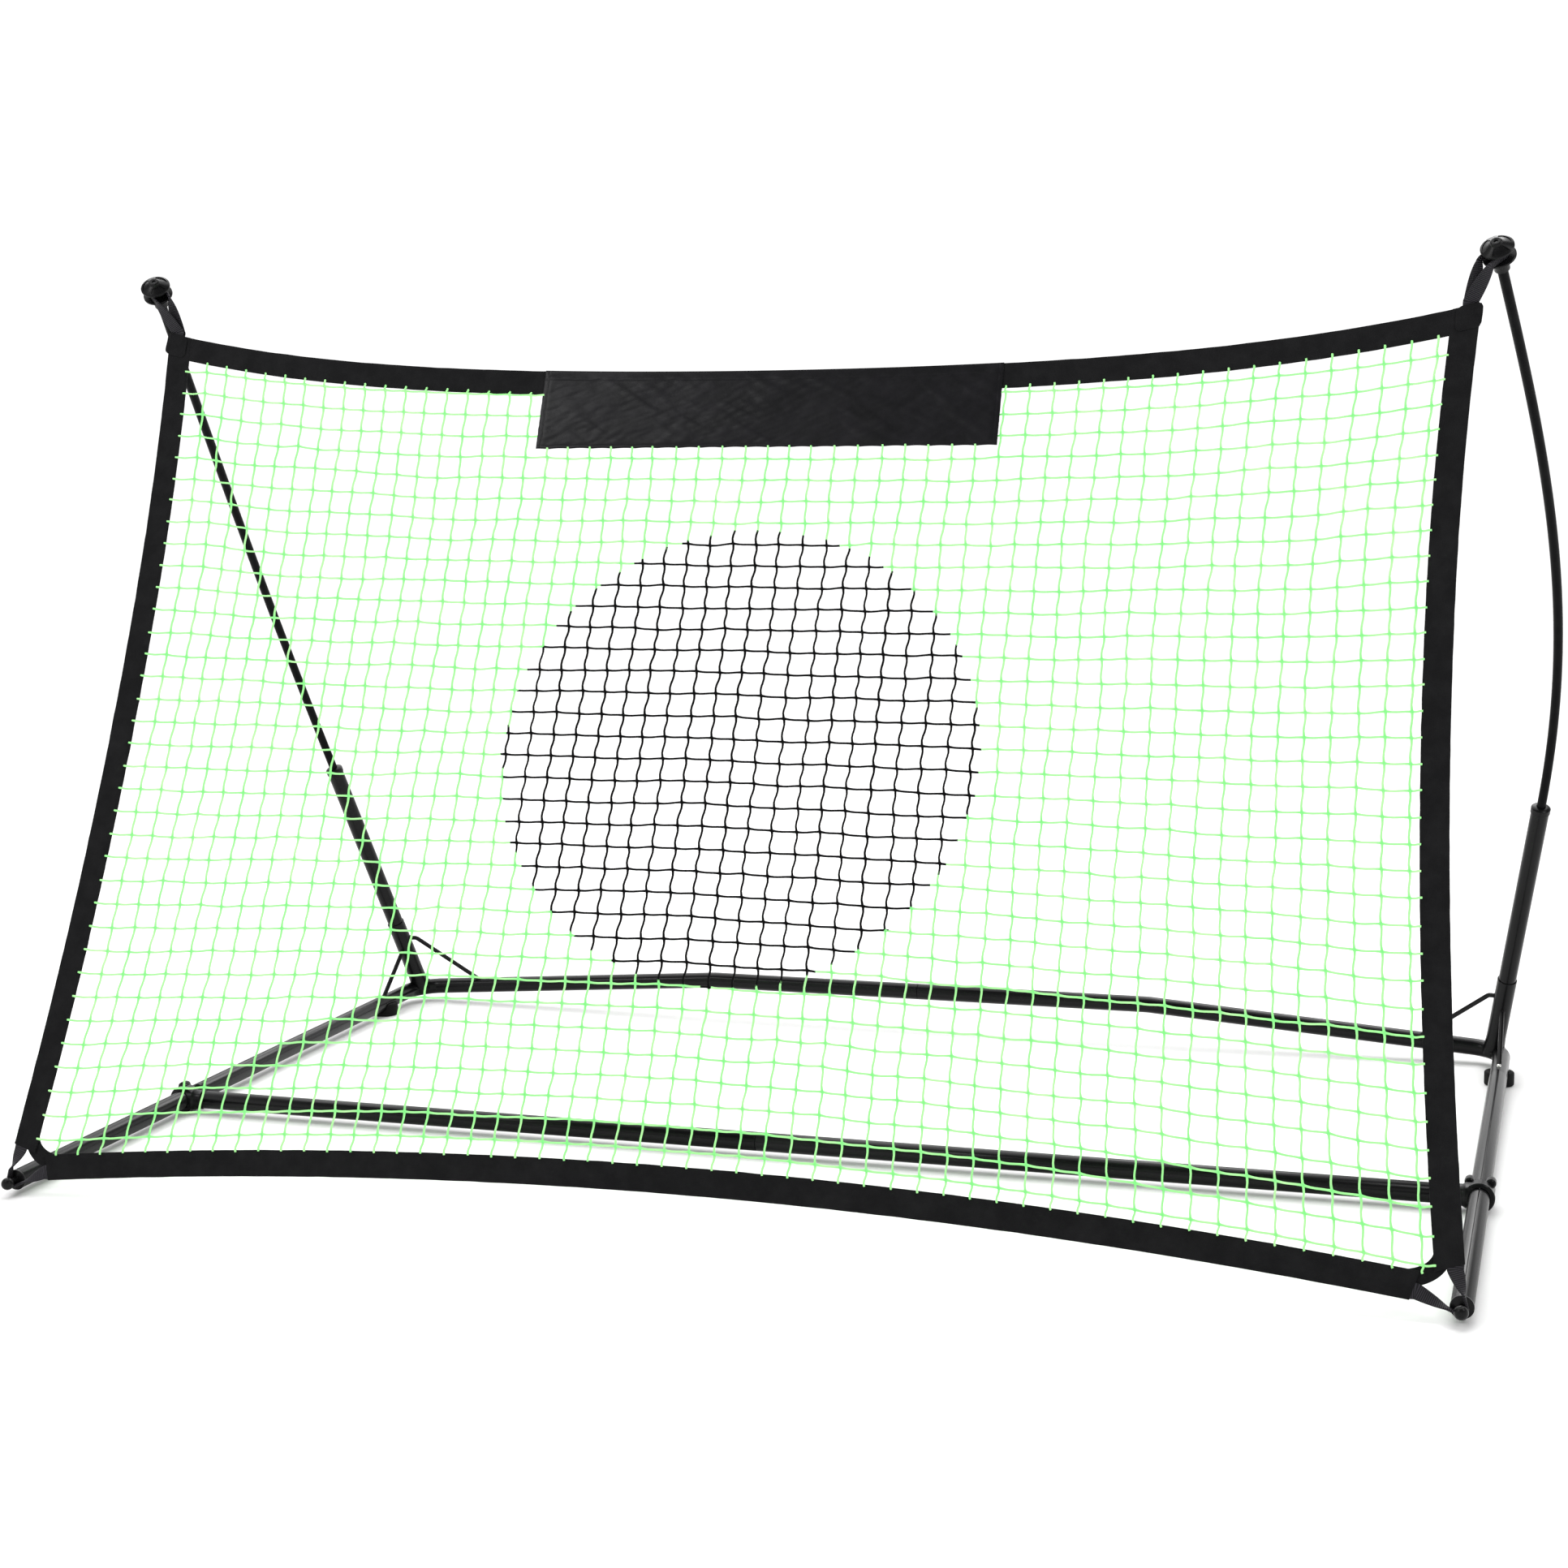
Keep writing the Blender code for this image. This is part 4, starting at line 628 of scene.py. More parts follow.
# Hems: doubled polyester folded over the net's edge and sewn twice
def makeHems():
    hem = {"thick": 0.0028, "pucker": 0.0005, "edge": 0.0004, "stitch": 0.0028, "across": 14, "under": 0.003, "lift": 0.0004, "slant": 0.005}
    cornerX = sideEdge(net["head"])
    innerX = cornerX - net["hemWidth"]
    width = net["hemWidth"]

    def seamAt(length):
        def value(a, b):
            dash = 0.5 + 0.5 * math.sin(a * length / 0.0035 * math.tau)
            edge = min(abs(b * width - hem["stitch"]), abs((1 - b) * width - hem["stitch"]))
            return (0.5 + 0.5 * dash) * max(0, 1 - edge / 0.0012)
        return value

    def unevenOut(x, s):
        return noise.noise((x * 30, s * 30, 3)) * hem["pucker"] + noise.noise((x * 120, s * 120, 9)) * hem["pucker"] * 0.5

    def placeBetween(outer, inner, lift=0.0):
        def place(a, b):
            one, two = outer(a), inner(a)
            spot = one.lerp(two, b)
            wave = noise.noise((a * 60, b, 5)) * hem["edge"]
            spot += (two - one).normalized() * wave
            return netPoint(spot.x, spot.y, unevenOut(spot.x, spot.y) + lift)
        return place

    pieces = []
    for side, tag in sides:
        low = net["sideFoot"]

        def outer(a):
            s = low + hem["slant"] + (topEdge(cornerX) - low - hem["slant"]) * a
            return Vector((side * sideEdge(s), s))

        def inner(a):
            s = low - hem["slant"] + (topEdge(innerX) - low + hem["slant"]) * a
            return Vector((side * (sideEdge(s) - width), s))

        length = topEdge(cornerX) - low
        piece = clothPiece("hemSide_" + tag, 180, hem["across"], placeBetween(outer, inner, hem["lift"]), length, width, hem["thick"], seamAt(length))
        pieces.append((piece, (width, length), "hem_" + tag))
    highEnd = sideEdge(topEdge(innerX)) - width + hem["under"]
    lowEnd = sideEdge(topEdge(highEnd) - width) - width + hem["under"]

    def topOuter(a):
        x = (2 * a - 1) * highEnd
        return Vector((x, topEdge(x)))

    def topInner(a):
        x = (2 * a - 1) * lowEnd
        return Vector((x, topEdge(x) - width))

    piece = clothPiece("hemTop", 260, hem["across"], placeBetween(topOuter, topInner), 2 * highEnd, width, hem["thick"], seamAt(2 * highEnd))
    pieces.append((piece, (width, 2 * highEnd), "hem_top"))

    def bottomOuter(a):
        x = (2 * a - 1) * (net["bottomEnd"] - hem["slant"])
        return Vector((x, bottomEdge(x)))

    def bottomInner(a):
        x = (2 * a - 1) * (net["bottomEnd"] + hem["slant"])
        return Vector((x, bottomEdge(x) + width))

    length = 2 * net["bottomEnd"]
    piece = clothPiece("hemBottom", 260, hem["across"], placeBetween(bottomOuter, bottomInner), length, width, hem["thick"], seamAt(length))
    pieces.append((piece, (width, length), "hem_bottom"))
    for piece, flat, node in pieces:
        finishPiece(piece, hemCloth, "black_polyester", (node,))


makeHems()


# Banner: bare shiny polyester, sewn along the top hem and pulled into creases by the strands
def makeBanner():
    cloth = {"thick": 0.0009, "crease": 0.0014, "fine": 0.00035, "scallop": 0.0009, "stitch": 0.006}
    half, height = net["bannerHalf"], net["bannerHeight"]
    rest = net["hemThick"] / 2 + 0.0009

    def place(a, b):
        x = (a - 0.5) * 2 * half
        foot = bannerFoot + 0.0006 * noise.noise((x * 18, 0, 2)) + cloth["scallop"] * (abs(math.sin(math.pi * (x - net["targetX"]) / 0.0299)) - 0.5)
        s = topEdge(x) + (foot - topEdge(x)) * b
        fade = smoothStep(b / 0.12) * smoothStep((1 - b) / 0.10 + 0.15) * smoothStep(min(a, 1 - a) / 0.02 + 0.1)
        crease = 0.5 + 0.5 * noise.noise((x * 9 + s * 6, s * 30 - x * 12, 4.4))   # long creases, two ways
        crease += 0.5 * max(0, noise.noise((x * 12 - s * 10, s * 70 + x * 40, 6.1)))
        out = rest + fade * (crease * cloth["crease"] + noise.noise((x * 40 + s * 30, s * 190 - x * 70, 2.2)) * cloth["fine"])
        x += 0.0005 * noise.noise((s * 160, x * 10, 1.0)) * (1 if min(a, 1 - a) < 0.01 else 0)
        return netPoint(x, s, out)

    def seamAt(a, b):
        edge = min(a * 2 * half, (1 - a) * 2 * half)
        side = max(0, 1 - abs(edge - cloth["stitch"]) / 0.0012)
        foot = max(0, 1 - abs((1 - b) * height - 0.004) / 0.0012)
        top = max(0, 1 - abs(b * height - 0.012) / 0.0012)
        return max(side, foot, top)

    piece = clothPiece("bannerCloth", 320, 60, place, 2 * half, height, cloth["thick"], seamAt)
    finishPiece(piece, bannerCloth, "black_polyester", ("banner",))


makeBanner()
print("hems and banner sewn")


# A band wrapped round its route: stations of (point, direction across, width, thickness)
def wrapBand(name, stations, ribPitch=0.0, ribDepth=0.0, step=0.00044, roundness=0.4, around=16):
    lengths = [0.0]
    for one, two in zip(stations, stations[1:]):
        lengths.append(lengths[-1] + (two[0] - one[0]).length)
    total = lengths[-1]
    rows = max(8, int(total / step))
    shape = bmesh.new()
    bmesh.ops.create_grid(shape, x_segments=rows, y_segments=around, size=0.5)
    layer = shape.loops.layers.uv.new("cloth")
    for face in shape.faces:
        for loop in face.loops:
            b = loop.vert.co.y + 0.5
            spread = b * 2 if b < 0.5 else 2 - b * 2
            loop[layer].uv = ((loop.vert.co.x + 0.5) * total, spread * stations[0][2])

    def stationAt(run):
        k = 0
        while k < len(lengths) - 2 and lengths[k + 1] < run:
            k += 1
        t = (run - lengths[k]) / max(1e-9, lengths[k + 1] - lengths[k])
        one, two = stations[k], stations[k + 1]
        return (one[0].lerp(two[0], t), one[1].lerp(two[1], t).normalized(), one[2] + (two[2] - one[2]) * t, one[3] + (two[3] - one[3]) * t)

    cache = {}
    for vert in shape.verts:
        key = round((vert.co.x + 0.5) * rows)
        if key not in cache:
            run = total * key / rows
            point, across, width, thickness = stationAt(run)
            ahead = (stationAt(min(total, run + 0.002))[0] - stationAt(max(0, run - 0.002))[0]).normalized()
            across = (across - across.dot(ahead) * ahead).normalized()
            rib = 1 + ribDepth * math.sin(math.tau * run / ribPitch) if ribPitch else 1
            cache[key] = (point, across, ahead.cross(across), width, thickness * rib)
        point, across, through, width, thickness = cache[key]
        angle = (vert.co.y + 0.5) * math.tau
        c, s = math.cos(angle), math.sin(angle)
        wide = math.copysign(abs(c) ** roundness, c) * width / 2
        deep = math.copysign(abs(s) ** (roundness * 1.4), s) * thickness / 2
        vert.co = point + across * wide + through * deep
    bmesh.ops.remove_doubles(shape, verts=shape.verts, dist=0.000002)
    bmesh.ops.holes_fill(shape, edges=[edge for edge in shape.edges if edge.is_boundary])
    bmesh.ops.recalc_face_normals(shape, faces=shape.faces)
    return pieceFrom(shape, name, 55), total


# Pole, from the upright's collar to the cap, in one bow
pole = {"radius": 0.00635, "reach": 0.325, "tip": (0.8965, -0.1498316, 1.1425), "inTube": 0.100, "inCap": 0.016}
upright = {"length": 0.434, "seat": 0.022, "collar": 0.003, "cone": 0.007}


def poleBow(side):
    foot = cornerPoint(side) + leanOf(side) * (upright["length"] + upright["collar"] + upright["cone"])
    tip = Vector((side * pole["tip"][0], pole["tip"][1], pole["tip"][2]))
    low = foot + leanOf(side) * pole["reach"]
    return foot, low, (low + tip) / 2, tip


def tipFrame(side):
    foot, low, high, tip = poleBow(side)
    return tip, (tip - high).normalized()


cap = {
    "rimR": 0.020, "rim": 0.003, "neckR": 0.0095, "neckL": 0.011, "sleeveR": 0.0095, "sleeveL": 0.013,
    "cone": 0.0055, "hubR": 0.0075, "hubH": 0.0035, "screwR": 0.00225, "pocketR": (0.0095, 0.0172), "pocketArc": 74, "pocketDepth": 0.001,
}
capLower = cap["sleeveL"] + cap["cone"]
capNeck = capLower + cap["rim"]
capUpper = capNeck + cap["neckL"]
ball = {"radius": 0.008, "neckR": 0.0045, "flangeY": 0.018, "flangeT": 0.003, "flangeR": 0.0132, "spigotL": 0.022}


# Webbing loops: ribbed strap, flat where it is sewn and folded in two round the necks
def makeWebbing():
    strap = {"width": 0.018, "thick": 0.0015, "neckWidth": 0.0095, "neckThick": 0.003, "seam": 0.012,
             "exit": 0.8, "steps": 40, "corner": 0.013, "onHem": 0.32, "ribPitch": 0.0022, "ribDepth": 0.14, "hold": (2.6, 1.1)}
    gap = base["gap"]

    def loopStations(neck, axis, neckR, rimR, legs, hold):   # hold: how long a leg stays flat and wide
        radius = neckR + gap + strap["neckThick"] / 2
        flats = []
        for sewn, end, out, across in legs:
            flat = end - neck
            flats.append((flat - flat.dot(axis) * axis).normalized())
        away = -(flats[0] + flats[1]).normalized()
        tangents, halves = [], []
        for (sewn, end, out, across), flat in zip(legs, flats):
            tangent = axis.cross(flat)
            tangent = tangent if tangent.dot(out) > 0 else -tangent
            tangents.append(tangent)
            leave = neck + flat * (rimR + strap["thick"]) + tangent * radius * strap["exit"]
            leg = [(sewn, across, strap["width"], strap["thick"])]
            for n in range(strap["steps"] + 1):
                t = n / strap["steps"]
                width = strap["width"] + (strap["neckWidth"] - strap["width"]) * t ** hold
                thick = strap["thick"] + (strap["neckThick"] - strap["thick"]) * t ** hold
                leg.append((end.lerp(leave, t), across.slerp(axis, t ** (hold + 1)), width, thick))
            halves.append(leg)
        arc = []
        for start, stop, first in ((tangents[0], away, 0), (away, tangents[1], 1)):
            for n in range(first, 13):
                arc.append((neck + start.slerp(stop, n / 12) * radius, axis, strap["neckWidth"], strap["neckThick"]))
        return halves[0] + arc + halves[1][::-1]

    for side, tag in sides:
        tip, axis = tipFrame(side)
        neck = tip + axis * (capNeck + cap["neckL"] / 2)
        out = net["hemThick"] / 2 + gap + strap["thick"] / 2
        x = sideEdge(net["head"]) - strap["corner"]
        inward = Vector((-side, 0, 0))
        legs = []
        for face in (1, -1):
            sewn = netPoint(side * x, topEdge(x) - strap["seam"], face * out)
            end = netPoint(side * x, topEdge(x + strap["width"] / 2) + strap["thick"], face * out)
            legs.append((sewn, end, inward * -face, inward))
        stations = loopStations(neck, axis, cap["neckR"], cap["rimR"], legs, strap["hold"][0])
        piece, length = wrapBand("webbingTop_" + tag, stations, strap["ribPitch"], strap["ribDepth"])
        finishPiece(piece, webbingCloth, "black_webbing", ("top_webbing_" + tag,))

        ballEnd = math.sqrt(ball["radius"] ** 2 - ball["neckR"] ** 2)
        neck = axisPoint((ballEnd + ball["flangeY"]) / 2, side)
        axis = -along
        sideX = sideEdge(net["sideFoot"]) - net["hemWidth"] * strap["onHem"]
        endX = net["bottomEnd"]
        level = bottomEdge(endX) + net["hemWidth"] * strap["onHem"]
        sewn = [netPoint(side * sideX, net["sideFoot"] + strap["seam"]), netPoint(side * (endX - strap["seam"]), level)]   # inside the hems' folds
        ends = [netPoint(side * sideX, net["sideFoot"] - strap["thick"]), netPoint(side * (endX + strap["thick"]), level)]
        legs = []
        for k in (0, 1):
            across = net["out"].cross(ends[k] - sewn[k]).normalized()
            across = across if across.dot(net["out"].cross(neck - ends[k])) > 0 else -across
            if axis.dot(net["out"].cross(neck - ends[k])) < 0:
                across = -across
            legs.append((sewn[k], ends[k], ends[k] - ends[1 - k], across))
        stations = loopStations(neck, axis, ball["neckR"], ball["flangeR"], legs, strap["hold"][1])
        piece, length = wrapBand("webbingBottom_" + tag, stations, strap["ribPitch"], strap["ribDepth"])
        finishPiece(piece, webbingCloth, "black_webbing", ("bottom_webbing_" + tag,))


makeWebbing()


# Corner patches over the top webbing's end, and the strips across the bottom corners
def makeCorners():
    patch = {"size": 0.031, "proud": 0.0015, "thick": 0.0014, "round": 0.007}
    strip = {"width": 0.020, "thick": 0.0015, "steps": 24}
    for side, tag in sides:
        rest = net["hemThick"] / 2 + base["gap"] + 0.0007
        webX = sideEdge(net["head"]) - 0.013

        def place(a, b):
            across, down = a * patch["size"], b * patch["size"]
            cornerX = min(max(across, patch["round"]), patch["size"] - patch["round"])
            cornerY = min(max(down, patch["round"]), patch["size"] - patch["round"])
            offX, offY = across - cornerX, down - cornerY   # the corners are folded under, which rounds them
            reach = max(abs(offX), abs(offY)) / max(1e-9, math.hypot(offX, offY))
            across, down = cornerX + offX * reach, cornerY + offY * reach
            x = sideEdge(net["head"]) + patch["proud"] - across
            s = topEdge(x) - down
            overWeb = smoothStep((0.0125 - abs(x - webX)) / 0.004) * smoothStep((0.016 - b * patch["size"]) / 0.005)
            edge = min(a, 1 - a, b, 1 - b)
            out = rest + overWeb * 0.0016 + 0.0006 * smoothStep(edge / 0.12) + 0.0006 * noise.noise((x * 70, s * 70, side))
            pull = 0.0014 * (noise.noise((s * 45, 3, side)) if a < 0.05 else 0) + 0.0012 * (noise.noise((x * 60, 9, side)) if b > 0.95 else 0)
            return netPoint(side * (x + pull * (a < 0.05)), s - pull * (b > 0.95), out)

        def seamAt(a, b):
            edge = min(a, 1 - a, 1 - b) * patch["size"]
            return max(0, 1 - abs(edge - 0.003) / 0.0012)

        piece = clothPiece("patchCloth_" + tag, 40, 40, place, patch["size"], patch["size"], patch["thick"], seamAt)
        finishPiece(piece, hemCloth, "black_webbing", ("corner_patch_" + tag,))

        out = -(net["hemThick"] / 2 + base["gap"] + strip["thick"] / 2)
        sideX = sideEdge(net["sideFoot"]) - net["hemWidth"]
        endX = net["bottomEnd"]
        ends = (Vector((sideX + strip["width"] * 0.5, net["sideFoot"] + strip["width"])),
                Vector((sideX + strip["width"] * 0.35, bottomEdge(endX) + net["hemWidth"] * 0.75)),
                Vector((endX - strip["width"] * 1.1, bottomEdge(endX) + net["hemWidth"] * 0.68)))
        stations = []
        for n in range(strip["steps"] + 1):
            t = n / strip["steps"]
            spot = ends[0] * (1 - t) ** 2 + ends[1] * 2 * t * (1 - t) + ends[2] * t * t
            run = (ends[1] - ends[0]) * (1 - t) + (ends[2] - ends[1]) * t
            wide = Vector((-run.y, run.x)).normalized()
            across = netPoint(side * wide.x, wide.y) - netPoint(0, 0)
            stations.append((netPoint(side * spot.x, spot.y, out), across, strip["width"], strip["thick"]))
        piece, length = wrapBand("cornerStrip_" + tag, stations, step=0.001)
        finishPiece(piece, hemCloth, "black_webbing", ("corner_strip_" + tag,))


makeCorners()
print("webbing and corners sewn")


# Rear bars: tube bent round each corner and up into the shallow arch, one end drawn down to enter the other
def makeRearBars():
    for side, tag in sides:
        knots = [axisPoint(base["seam"] + base["gap"], side), axisPoint(base["rear"], side),
                 rearBarPoint(side * base["archHalf"]), Vector((base["rearJoint"], rearBarPoint(0).y, rearBarPoint(0).z))]
        path = roundCorners(knots, (base["elbowR"], base["archBendR"]), (20, 10))
        ahead = (path[-1] - path[-2]).normalized()
        start = (path[1] - path[0]).normalized()
        radius, rim = base["tubeR"], base["rim"]
        points = [path[0], path[0] + start * rim] + path[1:-1]
        radii = [radius - rim, radius] + [radius] * (len(path) - 2)
        if side > 0:
            points += [path[-1] - ahead * rim, path[-1], path[-1] + ahead * base["gap"], path[-1] + ahead * base["overlap"]]
            radii += [radius, radius - rim, base["spigotR"], base["spigotR"]]
        else:
            points += [path[-1] - ahead * (rim + base["gap"]), path[-1] - ahead * base["gap"]]
            radii += [radius, radius - rim]
        bar = rod("rearBar_" + tag, points, radii, 40)
        drill = lathe("drill", [(0, 0.03), (0.0036, 0.03), (0.0036, 0.009), (0, 0.009)], turnTo(axisPoint(base["button"], side), upward), 32)
        cutWith(bar, drill)
        finishPiece(bar, powderCoat, "black_powder_coat", ("rear_bar_" + tag,))


# Side tubes: straight, with the drawn end hidden in the rear corner
def makeSideTubes():
    weldLine = {"width": 0.0013, "depth": 0.0030}   # the rolled tube's closed edge, a fine groove along its top
    for side, tag in sides:
        length = base["seam"] - base["tubeStart"]
        radius, rim = base["tubeR"], base["rim"]
        outline = [(0, length + 0.012), (base["spigotR"], length + 0.012), (base["spigotR"], length), (radius - rim, length),
                   (radius, length - rim), (radius, rim), (radius - rim / 2, 0), (base["boreR"], 0), (base["boreR"], 0.004), (0, 0.004)]
        tube = lathe("sideTube_" + tag, outline, turnTo(axisPoint(base["tubeStart"], side), along), 64)
        shape = bmesh.new()
        bmesh.ops.create_cube(shape, size=1)
        bmesh.ops.scale(shape, vec=(weldLine["width"], length * 2, weldLine["depth"] * 2), verts=shape.verts)
        bmesh.ops.transform(shape, matrix=Matrix.Rotation(math.atan(base["climb"]), 4, "X"), verts=shape.verts)
        bmesh.ops.translate(shape, vec=axisPoint(base["crossbar"], side) + upward * radius, verts=shape.verts)
        cutWith(tube, pieceFrom(shape, "weldLine"))
        finishPiece(tube, greyEnamel, "grey_painted_steel", ("side_tube_" + tag,))


# Front crossbar in two halves
def makeCrossbar():
    for side, tag in sides:
        start = side * (base["half"] - 0.0177604 - 0.012 - base["gap"])
        level = axisPoint(base["crossbar"], 0)
        radius, rim = base["tubeR"], base["rim"]
        ahead = -side
        end = base["frontJoint"]
        steps = [(start, radius - rim), (start + ahead * rim, radius), ((start + end) / 2, radius), (end - ahead * rim, radius), (end, radius - rim)]
        if side > 0:
            steps += [(end + ahead * base["gap"], base["spigotR"]), (end + ahead * base["overlap"], base["spigotR"])]
        else:
            steps[-2:] = [(end - ahead * (rim + base["gap"]), radius), (end - ahead * base["gap"], radius - rim)]
        points = [Vector((x, level.y, level.z)) for x, r in steps]
        bar = rod("crossbarTube_" + tag, points, [r for x, r in steps], 40)
        finishPiece(bar, powderCoat, "black_powder_coat", ("front_bar_" + tag,), "crossbar")


makeRearBars()
makeSideTubes()
makeCrossbar()


# Front end plugs: flange, neck and glossy ball in one moulding
def makePlugs():
    for side, tag in sides:
        back = ball["flangeY"] + ball["flangeT"]
        spigot, flange, neck = base["spigotR"], ball["flangeR"], ball["neckR"]
        start = math.asin(neck / ball["radius"])
        turns = [start + (math.pi - start) * n / 20 for n in range(21)]
        outline = [(0, back + ball["spigotL"]), (spigot - 0.0006, back + ball["spigotL"]), (spigot, back + ball["spigotL"] - 0.0006), (spigot, back),
                   (flange, back), (flange, ball["flangeY"]), (neck, ball["flangeY"])]
        outline += [(ball["radius"] * math.sin(turn), ball["radius"] * math.cos(turn)) for turn in turns[:-1]] + [(0, -ball["radius"])]
        piece = softenEdges(lathe("plugMoulding_" + tag, outline, turnTo(axisPoint(0, side), along), 56), 0.0005)
        finishPiece(piece, mouldedNylon, "black_nylon", ("end_plug_" + tag,))


# Rubber feet, saddled under the rear corners
def makeFeet():
    foot = {"radius": 0.0215, "edge": 0.003, "height": 0.0205, "groove": 0.0131}
    for side, tag in sides:
        radius, edge, height = foot["radius"], foot["edge"], foot["height"]
        arc = [(radius - edge + edge * math.sin(math.radians(n * 15)), edge - edge * math.cos(math.radians(n * 15))) for n in range(7)]
        outline = [(0, 0)] + arc + [(r, height - z) for r, z in arc[::-1]] + [(0, height)]
        spot = axisPoint(base["foot"], side)
        piece = lathe("footRubber_" + tag, outline, Matrix.Translation((spot.x, spot.y, 0)), 56)
        groove = rod("groove", [axisPoint(base["foot"] - 0.05, side), axisPoint(base["foot"] + 0.05, side)], [foot["groove"]] * 2, 40)
        cutWith(piece, groove)
        finishPiece(softenEdges(piece, 0.0004), mouldedRubber, "black_rubber", ("foot_" + tag,))


# Snap buttons, domed
def makeButtons():
    button = {"radius": 0.0032, "proud": 0.0032, "baseR": 0.0042, "baseT": 0.001, "seat": 0.0088, "springFloor": 0.0094, "springKeep": 0.7}
    for side, tag in sides:
        top = base["tubeR"] + button["proud"]
        dome = [(button["radius"] * math.sin(math.radians(n * 9)), top - button["radius"] * 0.6 * (1 - math.cos(math.radians(n * 9)))) for n in range(11)]
        under = button["seat"] - button["baseT"]
        outline = dome + [(button["radius"], button["seat"]), (button["baseR"], button["seat"]), (button["baseR"], under), (0, under)]
        piece = lathe("snapButton_" + tag, outline, turnTo(axisPoint(base["button"], side), upward), 32)
        finishPiece(piece, nickel, "nickel_plate", ("snap_button_" + tag,), "button_" + tag)
        shape = bmesh.new()   # the hairpin spring inside the tube, which closes as its button goes in
        shape.from_mesh(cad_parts["button_spring_" + tag].data)
        bmesh.ops.remove_doubles(shape, verts=shape.verts, dist=0.000002)
        piece = finishPiece(pieceFrom(shape, "buttonSpring_" + tag), springSteel, "spring_steel", ("button_spring_" + tag,))
        floor = axisPoint(base["button"], side) - upward * button["springFloor"]
        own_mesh(piece)


makePlugs()
makeFeet()
makeButtons()
print("base made")


def weldBead(name, points, radius):   # lumpy run of weld along a closed or open line
    line = []
    for k, point in enumerate(points):
        line.append((point, radius * (1 + 0.18 * math.sin(k * 1.9) + 0.1 * dice.uniform(-1, 1))))
    return strandMesh(name, [line], 10)


